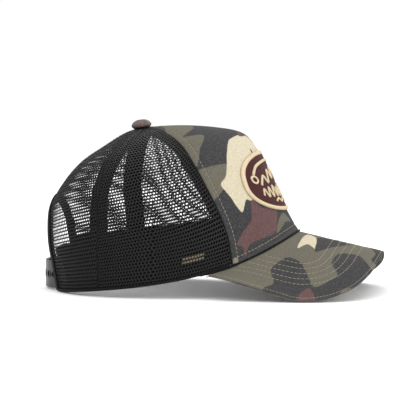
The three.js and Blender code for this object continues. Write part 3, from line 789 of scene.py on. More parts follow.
def makeFrontPanel(s):
    ups = np.linspace(0, crownShape["crownTop"], s["up"] + 1)
    share, t = np.meshgrid(np.linspace(0, 1, s["across"] + 1), ups)
    phi = frontPhi(share, t, s["seamGap"])
    toSeam = np.minimum(share, 1 - share) * 2 * frontSeam(t) * reach(phi, t)
    height = crownPoint(phi, t)[..., 2] - hemPoint(phi)[..., 2]
    roll = -s["seamRoll"] * np.exp(-(toSeam / 0.9) ** 2)
    # the topstitching pulls the cloth down, and it puffs a little between stitch and seam
    roll = roll - 0.35 * np.exp(-((toSeam - s["stitchInset"]) / 1.1) ** 2)
    roll = roll + 0.12 * np.exp(-((toSeam - 3.0) / 1.8) ** 2)
    roll = roll - 0.3 * np.exp(-((height - s["hemStitch"]) / 1.0) ** 2)
    roll = roll + 0.22 * np.exp(-((height - 1.9) / 1.4) ** 2)
    # faint puckers along the seams
    pucker = np.sin(t * 190) * np.exp(-((toSeam - 5.0) / 4.5) ** 2) * 0.12
    soft = 0.25 * np.sin(np.degrees(phi) / 9 + 1.3) * np.sin(t * 11) * smooth(toSeam / 12)
    outer = crown(phi, t, roll + pucker + soft * 0.6)
    inner = crown(phi, t, -s["thick"] + roll * 0.2)
    piece = clothSheet("frontPanel", outer, inner, camoCloth)
    crownCamoValues(piece, both(phi), both(t))
    wear = np.exp(-(height / 1.6) ** 2) * 0.6 + np.exp(-((toSeam - s["stitchInset"]) / 1.0) ** 2) * 0.2
    clothDirections(piece, both(phi * clothScale["around"]), both(t * clothScale["up"]), both(wear))
    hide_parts("front_panel")
    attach(piece, "cap")


def seamPath(seam, hand, inset, tFrom, tTo, out, count=240):
    t = np.linspace(tFrom, tTo, count)
    phi = hand * (seam(t) - inset / reach(seam(t), t))
    return crown(phi, t, np.full(count, out)), crownNormal(phi, t)


def heightPath(phiFrom, phiTo, height, out, count=240):
    phi = np.linspace(phiFrom, phiTo, count)
    t = tAtHeight(phi, height)
    return crown(phi, t, np.full(count, out)), crownNormal(phi, t)


def makeFrontStitching(s):
    limit = float(frontSeam(0)) - 0.02
    seams = [seamPath(frontSeam, hand, s["stitchInset"], 0.035, 0.94, -0.12) for hand in (-1, 1)]
    hem = [heightPath(-limit, limit, s["hemStitch"], -0.1)]
    piece = stitches("frontTopstitch", seams + hem, seamThread, 2.4, 0.9, 0.5)
    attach(piece, "cap")
    # bartacks close both ends of the hem stitching
    rows = []
    for hand in (-1, 1):
        for k in range(7):
            t = np.full(12, 0.012 + 0.0045 * k)
            phi = hand * (frontSeam(t) - (1.2 + np.linspace(0, 5.2, 12)) / reach(frontSeam(t), t))
            rows.append((crown(phi, t, np.full(12, 0.1)), crownNormal(phi, t)))
    tack = stitches("frontBartacks", rows, seamThread, 5.2, 0.0, 0.5)
    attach(tack, "cap")


makeFrontPanel(frontPanel)
makeFrontStitching(frontPanel)
print("front panel made")


lining = {"outer": 1.75, "inner": 2.5, "across": 90, "up": 60, "margin": 3.0}


def makeLining(s):
    share, t = np.meshgrid(np.linspace(0, 1, s["across"] + 1), np.linspace(0.045, 0.9, s["up"] + 1))
    phi = frontPhi(share, t, s["margin"])
    wave = 0.06 * np.sin(phi * 70) * np.sin(t * 80)
    outer = crown(phi, t, -s["outer"] + wave)
    inner = crown(phi, t, -s["inner"] + wave)
    piece = clothSheet("frontLining", outer, inner, liner)
    clothDirections(piece, both(phi * clothScale["around"]), both(t * clothScale["up"]))
    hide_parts("front_buckram")
    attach(piece, "cap")


makeLining(lining)


meshKnit = {
    "pitch": 1.95, "rowSpacing": 2.65,
    "holeWide": 1.52, "holeTall": 1.58,
    "thick": 0.45, "waleWide": 0.24, "waleRise": 0.22,
    "widest": 62.0,         # half the width of the widest panel, with room to spare
    "jump": 0.8, "topGap": 0.004,
    # degrees that rows climb to the front, at the hem, the middle and the top of each side
    "rowRiseRight": (0.0, 18.0, 16.0),
    "rowRiseLeft": (0.0, 8.0, 6.0),
    "seamGap": 0.3,
}


# Where a panel's knitting lies: a across the panel in mm from its middle line, b up in mm.
class Gore:
    def __init__(self, low, high, hand, settings):
        self.low, self.high, self.hand, self.settings = low, high, hand, settings
        self.ts = np.linspace(0, crownShape["crownTop"], 200)
        middle = self.middle(self.ts)
        line = crownPoint(middle, self.ts)
        self.run = np.concatenate([[0], np.cumsum(np.linalg.norm(np.diff(line, axis=0), axis=1))])

    def middle(self, t):
        return (self.low(t) + self.high(t)) / 2

    def slope(self, t):
        a, b, c = self.settings["rowRiseLeft" if self.hand > 0 else "rowRiseRight"]
        degrees = lerp(lerp(a, b, smooth(t / 0.5)), c, smooth((t - 0.5) / 0.5))
        return np.tan(np.radians(degrees))

    # a grows towards the back, so rows climb towards the front
    def place(self, a, b):
        t = np.interp(b, self.run, self.ts)
        for _ in range(8):
            t = np.interp(b - a * self.slope(t), self.run, self.ts)
        middle = self.middle(t)
        phi = middle + a / reach(middle, t)
        return phi, t


def archInside(y, z, margin):
    s = crownShape
    half = s["archHalfWidth"] + margin
    above = np.hypot(y, z - s["archStraight"]) - half
    beside = np.abs(y) - half
    return np.where(z > s["archStraight"], above, beside)


# Points that fall in the rear opening slide back out to its edge.
def clearArch(phi, t, margin):
    for _ in range(4):
        p = crownPoint(phi, t)
        y, z = p[..., 1], p[..., 2]
        gap = archInside(y, z, margin)
        need = (gap < 0) & (p[..., 0] < crownShape["rearX"])
        high = z > crownShape["archStraight"]
        outY = np.where(high, y, np.sign(y))
        outZ = np.where(high, z - crownShape["archStraight"], 0)
        size = np.maximum(np.hypot(outY, outZ), 1e-6)
        moveY = np.where(need, -gap * outY / size, 0)
        moveZ = np.where(need, -gap * outZ / size, 0)
        stepPhi, stepT = crownStep(phi, t, p, moveY, moveZ, 1e-3)
        phi = phi + stepPhi
        t = t + stepT
    return phi, t


# Which knitting points lie on a panel, and which of them the rows reach without a jump.
# inset keeps them off the side seams, above off the hem, and archGap off the arch.
def onPanel(gore, a, b, phi, t, hasArch, inset, above, archGap):
    r = reach(phi, t)
    start = tAtHeight(np.clip(phi, 0.5, math.pi), crownShape["meshInset"])
    run = np.interp(t, gore.ts, gore.run)
    steady = np.abs(run - b + a * gore.slope(t)) < gore.settings["jump"]
    keep = (phi > gore.low(t) + inset / r) & (phi < gore.high(t) - inset / r) & (t > start + above)
    keep &= steady & (t < crownShape["crownTop"] - gore.settings["topGap"])
    if hasArch:
        p = crownPoint(phi, t)
        gap = archInside(p[..., 1], p[..., 2], crownShape["meshInset"])
        keep &= (gap > archGap) | (p[..., 0] > crownShape["rearX"])
    return keep, steady


def makeMeshPanel(name, low, high, hand, hasArch, s):
    gore = Gore(low, high, hand, s)
    pitch, spacing = s["pitch"], s["rowSpacing"]
    tall = pitch ** 2 / (8 * spacing)
    corners = [(0, spacing / 2 + tall), (pitch / 2, spacing / 2 - tall), (pitch / 2, tall - spacing / 2),
               (0, -spacing / 2 - tall), (-pitch / 2, tall - spacing / 2), (-pitch / 2, spacing / 2 - tall)]
    ring = []
    for p, q in zip(corners, corners[1:] + corners[:1]):
        ring += [p, ((p[0] + q[0]) / 2, (p[1] + q[1]) / 2)]
    ring = np.array(ring)
    around = np.arctan2(ring[:, 1] / spacing, ring[:, 0] / pitch)
    turn = np.stack([np.cos(around), np.sin(around)], -1)
    hole = np.sign(turn) * np.abs(turn) ** 0.8 * np.array([s["holeWide"], s["holeTall"]]) / 2
    shoulder = lerp(hole, ring, 0.45)
    half = s["thick"] / 2
    # outside crest, outside shoulder, hole, inside shoulder, inside crest
    levels = [(ring, half), (shoulder, half * 0.82), (hole, 0.0), (shoulder, -half * 0.82), (ring, -half)]
    rows = int(gore.run[-1] / spacing) + 12
    across = int(s["widest"] / pitch) + 2
    cells = []
    for j in range(-8, rows):
        for i in range(-across, across + 1):
            cells.append(((i + (0.5 if j % 2 else 0.0)) * pitch, j * spacing))
    cells = np.array(cells)
    phi, t = gore.place(cells[:, 0], cells[:, 1])
    slack = 0.9
    cells = cells[onPanel(gore, cells[:, 0], cells[:, 1], phi, t, hasArch, -slack, -0.006, -slack)[0]]
    a = cells[:, 0][:, None, None] + np.stack([lv[0][:, 0] for lv in levels])[None]
    b = cells[:, 1][:, None, None] + np.stack([lv[0][:, 1] for lv in levels])[None]
    out = np.broadcast_to(np.array([lv[1] for lv in levels])[None, :, None], a.shape)
    phi, t = gore.place(a, b)
    margin = s["seamGap"] / reach(phi, t)
    phi = np.clip(phi, low(t) + margin, high(t) - margin)
    startAt = np.linspace(0.5, math.pi, 300)
    startT = tAtHeight(startAt, crownShape["meshInset"])
    t = np.clip(t, np.interp(phi, startAt, startT), crownShape["crownTop"])
    if hasArch:
        phi, t = clearArch(phi, t, crownShape["meshInset"])
    points = mirrored(crown(phi, t, out - half), hand)
    count = len(cells)
    sides = len(ring)
    loop = np.arange(sides)
    nextLoop = (loop + 1) % sides
    base = (np.arange(count) * sides * len(levels))[:, None]
    faces = []
    for level in range(len(levels) - 1):
        first = base + level * sides
        second = first + sides
        faces.append(np.stack([first + loop, first + nextLoop, second + nextLoop, second + loop], -1))
    faces = np.concatenate([f.reshape(-1, 4) for f in faces])
    piece = meshFromArrays(name, points.reshape(-1, 3), faces, blackMesh)
    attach(piece, "cap")
    print(name, count, "holes,", len(piece.data.polygons), "faces")
    return piece


# The knitted wales: threads that zigzag up the mesh between its holes, all in step, coloured lighter than the
# mesh's own yarn as a painted highlight on their ridges.
def makeWales(name, low, high, hand, hasArch, s):
    gore = Gore(low, high, hand, s)
    rows = int(gore.run[-1] / s["rowSpacing"]) + 12
    across = int(s["widest"] / s["pitch"]) + 2
    i, j = np.meshgrid(np.arange(-across, across + 1), np.arange(-16, rows * 2), indexing="ij")
    # two points a row: beside the hole, and where the thread crosses to the next row
    row = np.floor_divide(j, 2)
    beside = (row % 2) * 0.5
    a = (i + 0.5 + np.where(j % 2 == 0, beside, 0.25)) * s["pitch"]
    b = (row + np.where(j % 2 == 0, 0.0, 0.5)) * s["rowSpacing"]
    phi, t = gore.place(a, b)
    keep, steady = onPanel(gore, a, b, phi, t, hasArch, 0.6, 0.002, 0.5)
    wide, rise = s["waleWide"] / 2, s["waleRise"]
    ring = [(-wide, 0.0), (0.0, rise), (wide, 0.0), (0.0, -0.05)]
    size = keep.astype(float)
    rings = []
    for side, lift in ring:
        q, w = gore.place(a + side * size, b)
        rings.append(crown(q, w, -0.04 + lift * size))
    points = mirrored(np.stack(rings, -2), hand)
    joined = (keep[:, :-1] | keep[:, 1:]) & steady[:, :-1] & steady[:, 1:]
    index = np.arange(a.size).reshape(a.shape) * 4
    lowEnd, highEnd = index[:, :-1][joined], index[:, 1:][joined]
    faces = np.concatenate([
        np.stack([lowEnd + k, lowEnd + (k + 1) % 4, highEnd + (k + 1) % 4, highEnd + k], -1)
        for k in range(4)])
    piece = meshFromArrays(name, points.reshape(-1, 3), faces, highlightedWaleThread)
    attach(piece, "cap")


for hand, side in ((1, "left"), (-1, "right")):
    makeWales("sideWales_" + side, frontSeam, sideSeam, hand, False, meshKnit)
    makeWales("backWales_" + side, sideSeam, backSeam, hand, True, meshKnit)
    panel = makeMeshPanel("sideMesh_" + side, frontSeam, sideSeam, hand, False, meshKnit)
    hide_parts("side_mesh_" + side)
    panel = makeMeshPanel("backMesh_" + side, sideSeam, backSeam, hand, True, meshKnit)
    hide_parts("back_mesh_" + side)
print("mesh panels knitted")


meshSeams = {
    "ridgeWide": 1.3, "ridgeRise": 0.2, "ridgeTop": 0.962, "tapeWide": 13.0, "tapeThick": 0.5,
    "frontTapeDepth": 3.15, "rearTapeDepth": 1.7, "tapeTop": 0.93, "tapeStart": 9.0, "stitchAside": 4.8,
}


def seamRidge(name, seam, hand, tFrom, tTo, wide, rise, depth=0.75):
    count, sides = 160, 8
    t = np.linspace(tFrom, tTo, count)
    middle = seam(t)
    r = reach(middle, t)
    half = np.minimum(wide / 2, 0.3 * r)
    wobble = 0.06 * np.sin(np.arange(count) * 1.9)
    rings = []
    for k in range(sides):
        a = 2 * math.pi * k / sides
        x = math.cos(a)
        y = math.sin(a)
        out = rise * y if y > 0 else depth * y
        rings.append(crown(middle + x * half / r, t, out - 0.1 + wobble))
    piece = sweep(name, mirrored(np.stack(rings, 1), hand), blackTape)
    clothDirections(piece, np.repeat(t * clothScale["up"], sides), np.tile(np.arange(sides) * 0.7, count))
    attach(piece, "cap")


def seamTape(name, seam, hand, depth, tFrom, tTo, s):
    rows, columns = 150, 15
    share, t = np.meshgrid(np.linspace(-1, 1, columns), np.linspace(tFrom, tTo, rows))
    middle = seam(t)
    r = reach(middle, t)
    half = np.minimum(s["tapeWide"] / 2, 0.38 * r) / r
    phi = middle + share * half
    # the tape bellies between its two lines of stitching
    belly = 0.15 * (1 - share ** 2) - 0.12 * np.exp(-((np.abs(share) - 0.75) / 0.12) ** 2)
    belly = belly + 0.05 * np.sin(t * 260)
    outer = mirrored(crown(phi, t, -depth + belly * 0.5), hand)
    inner = mirrored(crown(phi, t, -depth - s["tapeThick"] + belly * 0.5), hand)
    piece = clothSheet(name, outer, inner, blackTape)
    clothDirections(piece, both(share * s["tapeWide"] / 2), both(t * clothScale["up"]))
    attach(piece, "cap")
    return piece


def makeSeams(s):
    rows = []
    for hand, label in ((1, "left"), (-1, "right")):
        start = float(tAtHeight(sideSeam(0), s["tapeStart"]))
        tape = seamTape("tapeSide_" + label, sideSeam, hand, s["rearTapeDepth"], start, s["tapeTop"], s)
        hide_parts("seam_tape_side_" + label)
        start = float(tAtHeight(frontSeam(0), s["tapeStart"]))
        tape = seamTape("tapeFront_" + label, frontSeam, hand, s["frontTapeDepth"], start, s["tapeTop"], s)
        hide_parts("seam_tape_front_" + label)
        seamRidge("ridgeSide_" + label, sideSeam, hand, 0.06, s["ridgeTop"], s["ridgeWide"], s["ridgeRise"])
        seamRidge("ridgeFront_" + label, frontSeam, hand, 0.0, s["ridgeTop"], 1.5, -0.1, 1.1)
        for aside in (-s["stitchAside"], s["stitchAside"]):
            rows.append(seamPath(sideSeam, hand, aside, 0.07, s["tapeTop"], 0.1))
        rows.append(seamPath(frontSeam, hand, -2.2, 0.06, s["tapeTop"], 0.1))
    arch = crownShape["archStraight"] + crownShape["archHalfWidth"]
    start = float(placeAt(-1, np.array([0.01]), np.array([arch + s["tapeStart"]]))[1][0])
    tape = seamTape("tapeBack", backSeam, 1, s["rearTapeDepth"], start, s["tapeTop"], s)
    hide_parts("seam_tape_back")
    seamRidge("ridgeBack", backSeam, 1, start - 0.02, s["ridgeTop"], s["ridgeWide"], s["ridgeRise"])
    for aside in (-s["stitchAside"], s["stitchAside"]):
        rows.append(seamPath(backSeam, 1, aside, start, s["tapeTop"], 0.1))
    thread = stitches("meshSeamStitches", rows, blackThread, 2.2, 0.8, 0.5)
    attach(thread, "cap")


makeSeams(meshSeams)
print("seams taped and stitched")


sweatband = {
    "height": 38.5, "low": 0.8,
    "depth": 4.3, "thick": 1.3, "pad": 0.35,
    "rightDrop": 5.0,      # the band runs lower where it ends on the right of the arch
    "across": 300, "up": 26, "archClear": 0.5,
}


def makeSweatband(s):
    share, v = np.meshgrid(np.linspace(-1, 1, s["across"] + 1), np.linspace(0, 1, s["up"] + 1))
    t = tAtHeight(np.full(v.shape, math.pi), lerp(s["low"], s["height"], v))
    clear = crownShape["archHalfWidth"] + s["archClear"]
    limit = placeAt(-1, np.full(v.shape, clear), crownPoint(math.pi, t)[..., 2])[0]
    phi = limit * share
    top = s["height"] - s["rightDrop"] * smooth((-np.degrees(phi) - 140) / 18)
    height = lerp(s["low"], top, v)
    t = tAtHeight(phi, height)
    puff = s["pad"] * np.sin(np.clip((v - 0.1) / 0.8, 0, 1) * math.pi)
    puff = puff + 0.12 * np.sin(phi * 31) * np.sin(v * 5)
    ease = 0.45 * (np.exp(-(v / 0.05) ** 2) + np.exp(-((1 - v) / 0.04) ** 2))
    outer = crown(phi, t, -s["depth"] - ease)
    inner = crown(phi, t, -s["depth"] - s["thick"] - puff * 0.5 + ease)
    piece = clothSheet("sweatbandTwill", outer, inner, blackTwill)
    clothDirections(piece, both(phi * clothScale["around"]), both(height))
    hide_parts("sweatband")
    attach(piece, "cap")
    limitLow = float(limit[0, -1]) - 0.03
    lowRow, highRow = 3.5, s["height"] - s["rightDrop"] - 2.0
    threadOut = -s["depth"] - s["thick"] - 0.25
    paths = [heightPath(-limitLow, limitLow, height, threadOut, 400) for height in (lowRow, highRow)]
    rows = [(path, -normals) for path, normals in paths]
    thread = stitches("sweatbandStitches", rows, blackThread, 2.6, 0.8, 0.5)
    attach(thread, "cap")


makeSweatband(sweatband)


bindings = {
    "out": 1.15, "in": 2.15, "hemLeg": 2.4, "archLeg": 6.0, "innerLeg": 7.0, "cloth": 0.6,
    "stitchIn": 1.3, "startAngle": 55.6,
    "billEnd": 69.0, "reachDown": 0.72,
}


# Points round the folded tape: (across the cloth, distance from the free edge).
def foldOutline(leg, inner, s):
    o, i, c = s["out"], s["in"], s["cloth"]
    middle = (o - i) / 2
    half = (o + i) / 2
    outside = [(middle + half * math.cos(a), 0.9 - 0.9 * math.sin(a)) for a in np.linspace(0, math.pi, 9)]
    start = [(o - 0.12, leg), (o, leg - 0.4), (o - 0.1, leg - 1.1), (o, leg / 2)]
    inside = [(-i, 2.0), (-i, inner / 2), (-i + 0.1, inner - 1.3), (-i, inner - 0.5), (-i + 0.12, inner)]
    back = [(-i + c, inner), (-i + c, inner / 2), (-i + c, 1.1), (o - c, 1.1), (o - c, leg / 2), (o - c, leg)]
    return start + outside + inside + back


def makeBindings(s):
    outline = foldOutline(s["hemLeg"], s["innerLeg"], s)
    clear = crownShape["archHalfWidth"]
    last = float(placeAt(-1, np.array([clear]), np.array([0.3]))[0][0])
    threadRows = []
    for hand, label in ((1, "left"), (-1, "right")):
        phi = np.linspace(math.radians(s["startAngle"]), last, 220)
        rings = []
        for across, deep in outline:
            t = tAtHeight(phi, max(deep, 0))
            level = crownNormal(phi, t)
            level[..., 2] = 0
            wave = 0.08 * np.sin(phi * 60 + hand) if deep > 1.5 and across > 0 else 0
            p = crownPoint(phi, t) + unit(level) * (np.full(len(phi), across) + wave)[:, None]
            # beside the bill the fold reaches down to the bill's cloth
            onBill = 1 - smooth((np.degrees(phi) - s["billEnd"]) / 2)
            p[..., 2] = hemPoint(phi)[..., 2] + deep - s["reachDown"] * onBill * (deep < 1.5)
            rings.append(mirrored(p, hand))
        piece = sweep("hemBinding_" + label, np.stack(rings, 1), blackTape)
        deep = np.tile(np.arange(len(outline)) * 0.7, len(phi))
        clothDirections(piece, np.repeat(phi * clothScale["around"], len(outline)), deep)
        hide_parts("hem_binding_" + label)
        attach(piece, "cap")
        startAngle = math.radians(s["startAngle"] + 1)
        path, normals = heightPath(startAngle, last - 0.02, s["hemLeg"] - 0.9, s["out"] - 0.05)
        threadRows.append((mirrored(path, hand), mirrored(normals, hand)))

    # the arch's binding runs up one side, over the top and down the other
    a = crownShape["archStraight"]
    w = crownShape["archHalfWidth"]
    low = s["hemLeg"] + 0.3
    straight = [(-w, z, -1.0, 0.0) for z in np.linspace(low, a, 26)[:-1]]
    arc = [(w * math.cos(q), a + w * math.sin(q), math.cos(q), math.sin(q))
           for q in np.linspace(math.pi, 0, 90)]
    path = np.array(straight + arc + [(-y, z, 1.0, 0.0) for y, z, _, _ in straight[::-1]])
    outline = foldOutline(s["archLeg"], s["archLeg"], s)
    rings = []
    for across, deep in outline:
        y = path[:, 0] + path[:, 2] * deep
        z = path[:, 1] + path[:, 3] * deep
        wave = 0.07 * np.sin(np.arange(len(path)) * 0.8) if across > 0 and deep > 1.5 else 0
        rings.append(crownAt(-1, y, z, np.full(len(path), across) + wave))
    piece = sweep("archBinding", np.stack(rings, 1), blackTape)
    deep = np.tile(np.arange(len(outline)) * 0.7, len(path))
    clothDirections(piece, np.repeat(np.arange(len(path)) * 1.6, len(outline)), deep)
    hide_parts("arch_binding")
    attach(piece, "cap")
    deep = s["archLeg"] - s["stitchIn"]
    y = path[:, 0] + path[:, 2] * deep
    z = path[:, 1] + path[:, 3] * deep
    phi, t = placeAt(-1, y, z)
    threadRows.append((crown(phi, t, np.full(len(path), s["out"] - 0.05)), crownNormal(phi, t)))
    thread = stitches("bindingStitches", threadRows, blackThread, 2.4, 0.8, 0.5)
    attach(thread, "cap")


makeBindings(bindings)
print("sweatband and bindings sewn")


tag = {"angle": -72.7, "halfWidth": 7.0, "low": 11.3, "high": 17.3, "depth": 2.4, "thick": 0.45}


def makeTag(s):
    share, v = np.meshgrid(np.linspace(-1, 1, 41), np.linspace(0, 1, 27))
    phi = math.radians(s["angle"]) + share * s["halfWidth"] / crownShape["hemSide"]
    height = lerp(s["low"], s["high"], v)
    t = tAtHeight(phi, height)
    # turned-under ends, and a raised woven frame
    framed = ((np.abs(share) > 0.86) | (np.abs(v - 0.5) > 0.4)) * 0.12
    outer = crown(phi, t, -s["depth"] + framed - 0.12)
    inner = crown(phi, t, -s["depth"] - s["thick"])
    piece = clothSheet("wovenTag", outer, inner, tagCloth)
    clothDirections(piece, both(share * s["halfWidth"]), both(height))
    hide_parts("woven_tag")
    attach(piece, "cap")


makeTag(tag)


billCloth = {
    "across": 220, "rows": 78, "thick": 0.5,
    "stitchRows": (17.0, 23.0, 29.0, 35.0, 41.0), "edgeRow": 1.9,
    "channelDepth": 0.28, "edgeRound": 1.6,
}

rimLine = spline(rimPoints, np.linspace(0, 1, 400))


# Nearest distance to the rim: the nearest sample first, then the two short edges beside it.
def rimDistance(points):
    flat = points.reshape(-1, 3)
    nearest = np.concatenate([
        np.linalg.norm(flat[i:i + 4000, None] - rimLine[None], axis=2).argmin(1)
        for i in range(0, len(flat), 4000)])
    best = np.full(len(flat), 1e9)
    for step in (-1, 0):
        k = np.clip(nearest + step, 0, len(rimLine) - 2)
        a, edge = rimLine[k], rimLine[k + 1] - rimLine[k]
        share = np.clip(((flat - a) * edge).sum(1) / (edge ** 2).sum(1), 0, 1)
        best = np.minimum(best, np.linalg.norm(flat - a - edge * share[:, None], axis=1))
    return best.reshape(points.shape[:-1])


# Both covers share one rolled edge: the top one comes over the rim, the lower one meets it.
def makeBillCover(name, node, top, s):
    # tucked under the crown, then the broad cloth, then closer rows at the rim
    out = [np.linspace(-1, 0, 4)[:-1], np.linspace(0, 0.96, s["rows"]), np.linspace(0.965, 1, 14)]
    u, v = np.meshgrid(np.linspace(-1, 1, s["across"] + 1), np.concatenate(out))
    base = billBase(u, np.clip(v, 0, 1))
    fromRim = rimDistance(base)
    rows = s["stitchRows"] + (s["edgeRow"],)
    dent = sum(np.exp(-((fromRim - row) / 1.0) ** 2) for row in rows) * s["channelDepth"]
    dent = dent * smooth(v * 12)
    full = billShape["thick"]
    # the edge rounds over within a couple of millimetres of the rim
    over = np.clip(1 - fromRim / s["edgeRound"], 0, 1)
    roundOff = (1 - np.sqrt(np.clip(1 - over ** 2, 0, 1))) * full / 2
    soft = 0.1 * np.sin(u * 37 + v * 9) * np.sin(v * 23)
    if top:
        face = full - roundOff - dent + soft * smooth(fromRim / 8)
        back = np.minimum(full - s["thick"], face - 0.12)
        back = np.maximum(back, full / 2 - 0.02)
        face = np.maximum(face, full / 2 + 0.02)
    else:
        face = roundOff + dent
        back = np.maximum(s["thick"], face + 0.12)
        back = np.minimum(back, full / 2)
        face = np.minimum(face, full / 2 - 0.04)
    piece = clothSheet(name, bill(u, v, face), bill(u, v, back), camoCloth)
    camoValues(piece, both(base[..., 0]), both(base[..., 1]) * (1 if top else -1), billCamo, "olive")
    wear = 0.3 * np.exp(-(fromRim / 1.2) ** 2)
    clothDirections(piece, both(base[..., 1]), both(base[..., 0]), both(wear))
    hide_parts(node)
    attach(piece, "cap")


# The line that keeps one distance from the rim, from crown to crown.
def billRow(distance, rise):
    us = np.linspace(-0.985, 0.985, 500)
    vs = np.linspace(0.0, 1, 60)
    u, v = np.meshgrid(us, vs, indexing="ij")
    gap = rimDistance(billBase(u, v))
    keep, at = [], []
    for i in range(len(us)):
        if gap[i, 0] < distance + 1.5:
            continue
        keep.append(us[i])
        at.append(np.interp(-distance, -gap[i], vs))
    keep, at = np.array(keep), np.array(at)
    side = 1 if rise > billShape["thick"] / 2 else -1
    return bill(keep, at, np.full(len(keep), rise)), billNormal(keep, at) * side


def makeBillStitching(s):
    topRise = billShape["thick"] - s["channelDepth"] + 0.05
    lowRise = s["channelDepth"] - 0.05
    for label, rise in (("Top", topRise), ("Under", lowRise)):
        rows = [billRow(row, rise) for row in s["stitchRows"]]
        piece = stitches("billRows" + label, rows, seamThread, 2.6, 0.7, 0.52, 0.1)
        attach(piece, "cap")
        rows = [billRow(s["edgeRow"], rise)]
        piece = stitches("billEdgeRow" + label, rows, seamThread, 2.0, 0.6, 0.45, 0.1)
        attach(piece, "cap")


makeBillCover("billTop", "brim_top_cover", True, billCloth)
makeBillCover("billUnder", "brim_under_cover", False, billCloth)
makeBillStitching(billCloth)
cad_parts["brim_board"].data.materials.clear()
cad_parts["brim_board"].data.materials.append(boardPlastic)
print("bill covered and stitched")


piping = {"radius": 0.8, "out": 0.75, "outAtMesh": 2.1, "rise": -0.1, "lay": 2.4}


def makePiping(s):
    limit = math.radians(billShape["halfAngle"] - 2)
    count, sides = 420, 10
    phi = np.linspace(-limit, limit, count)
    level = crownNormal(phi, np.zeros(count))
    level[:, 2] = 0
    level = unit(level)
    # past the front panel the piping steps out round the mesh's binding
    aside = lerp(s["out"], s["outAtMesh"], smooth((np.degrees(np.abs(phi)) - 50) / 5))
    centre = hemPoint(phi) + level * aside[:, None]
    centre[:, 2] += s["rise"]
    rings = []
    for k in range(sides):
        a = 2 * math.pi * k / sides
        twist = np.sin(phi * crownShape["hemSide"] / s["lay"] * math.pi + a * 2)
        r = s["radius"] * (1 + 0.09 * twist)
        p = centre + level * (r * math.cos(a))[:, None]
        p[:, 2] += r * math.sin(a)
        rings.append(p)
    piece = sweep("billPiping", np.stack(rings, 1), blackTape)
    clothDirections(piece, np.repeat(phi * 90, sides), np.tile(np.arange(sides) * 0.45, count))
    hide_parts("brim_piping")
    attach(piece, "cap")


makePiping(piping)


button = {
    "radius": 8.0, "height": 6.0, "tilt": 8.0, "lift": 0.1, "back": 1.9, "tuck": 0.35, "folds": 14,
    "rim": 1.4, "under": 0.55,      # height of the widest place, and the turn below it
}

buttonCamo = {
    "olive": [[(-9, -1), (-3, 1), (4, -3), (9, -2), (9, -5), (2, -6), (-6, -4)]],
    "cream": [],
    "maroon": [
        [(-12, 12), (12, 12), (12, -1), (5, -2), (-3, 2), (-12, 0)],
        [(-6, -7), (6, -7), (4, -12), (-5, -12)],
    ],
    "charcoal": [[(3, 2), (9, 1), (9, 4), (4, 5)]],
}


# Tilts points about the button's own zero and seats them on the top of the crown.
def seatButton(points, s):
    x, y, z = np.moveaxis(np.asarray(points, float), -1, 0)
    tilt = -math.radians(s["tilt"])
    seatX, seatZ = crownShape["apexX"] - s["back"], crownShape["apexZ"] + s["lift"]
    return np.stack([x * math.cos(tilt) + z * math.sin(tilt) + seatX, y,
                     -x * math.sin(tilt) + z * math.cos(tilt) + seatZ], -1)


# Distance from the button's middle line and height, up its side: a from below zero to a quarter turn.
def buttonProfile(a, s):
    radius, rim = s["radius"], s["rim"]
    if a > 0:
        return radius * max(0.0, math.cos(a)) ** 0.8, rim + (s["height"] - rim) * max(0.0, math.sin(a)) ** 1.2
    return radius * (0.86 + 0.14 * math.cos(a * 2.6)), rim * (1 + a / s["under"])


def makeButton(s):
    around, up = 72, 22
    points, plan = [], []
    for j in range(up + 1):
        q = j / up
        r, z = buttonProfile(lerp(-s["under"], math.pi / 2, q), s)
        for k in range(around):
            b = 2 * math.pi * k / around
            # the cloth is gathered under the rim in soft folds
            fold = s["tuck"] * max(0.0, 1 - q * 3) * math.sin(b * s["folds"])
            x, y = (r + fold * 0.5) * math.cos(b), (r + fold * 0.5) * math.sin(b)
            points.append((x, y, z))
            plan.append((r * math.cos(b) * (1 + 0.5 * q), r * math.sin(b) * (1 + 0.5 * q)))
    rings = seatButton(points, s).reshape(up + 1, around, 3)
    piece = sweep("buttonCover", rings, camoCloth)
    plan = np.array(plan)
    camoValues(piece, plan[:, 0], plan[:, 1], buttonCamo)
    clothDirections(piece, plan[:, 0], plan[:, 1], np.full(len(plan), 1.1))
    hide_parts("button_cover")
    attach(piece, "cap")


# Cloth drawn together under the button, down to the crown.
def makeButtonGather(s):
    around = 84
    profile = [(7.4, 0.9), (7.1, 0.2), (6.6, -0.5), (6.0, -1.1), (4.0, -1.5)]
    b = np.linspace(0, 2 * math.pi, around, endpoint=False)
    fold = 0.18 * np.sin(b * s["folds"])
    rings = [np.stack([(r + fold) * np.cos(b), (r + fold) * np.sin(b), np.full(around, z)], -1)
             for r, z in profile]
    piece = sweep("buttonGather", seatButton(rings, s), blackTape)
    levels = len(profile)
    down = np.repeat(np.arange(levels) * 0.6, around)
    clothDirections(piece, np.tile(np.arange(around) * 0.5, levels), down)
    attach(piece, "cap")


makeButton(button)
makeButtonGather(button)
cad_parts["button_rivet"].data.materials.clear()
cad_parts["button_rivet"].data.materials.append(rivetMetal)


patch = {
    "halfWidth": 39.5, "halfHeight": 23.3, "middleZ": 87.6,
    "fullness": 2.5,       # 2 is a plain oval, more is squarer
    "taper": 0.1,          # how much narrower the upper half is
    "baseOut": 1.3, "baseIn": 0.4, "rope": 3.0, "ropeTop": 2.0, "ropeBase": 0.45, "loops": 210,
}


# A place on the patch: the angle round it, and how far out from its middle (1 is the inset edge).
def patchSpot(angle, share, inset):
    power = 2 / patch["fullness"]
    across = np.sign(np.cos(angle)) * np.abs(np.cos(angle)) ** power
    up = np.sign(np.sin(angle)) * np.abs(np.sin(angle)) ** power
    y = (patch["halfWidth"] - inset) * share * across * (1 - patch["taper"] * up * share)
    return y, patch["middleZ"] + (patch["halfHeight"] - inset) * share * up


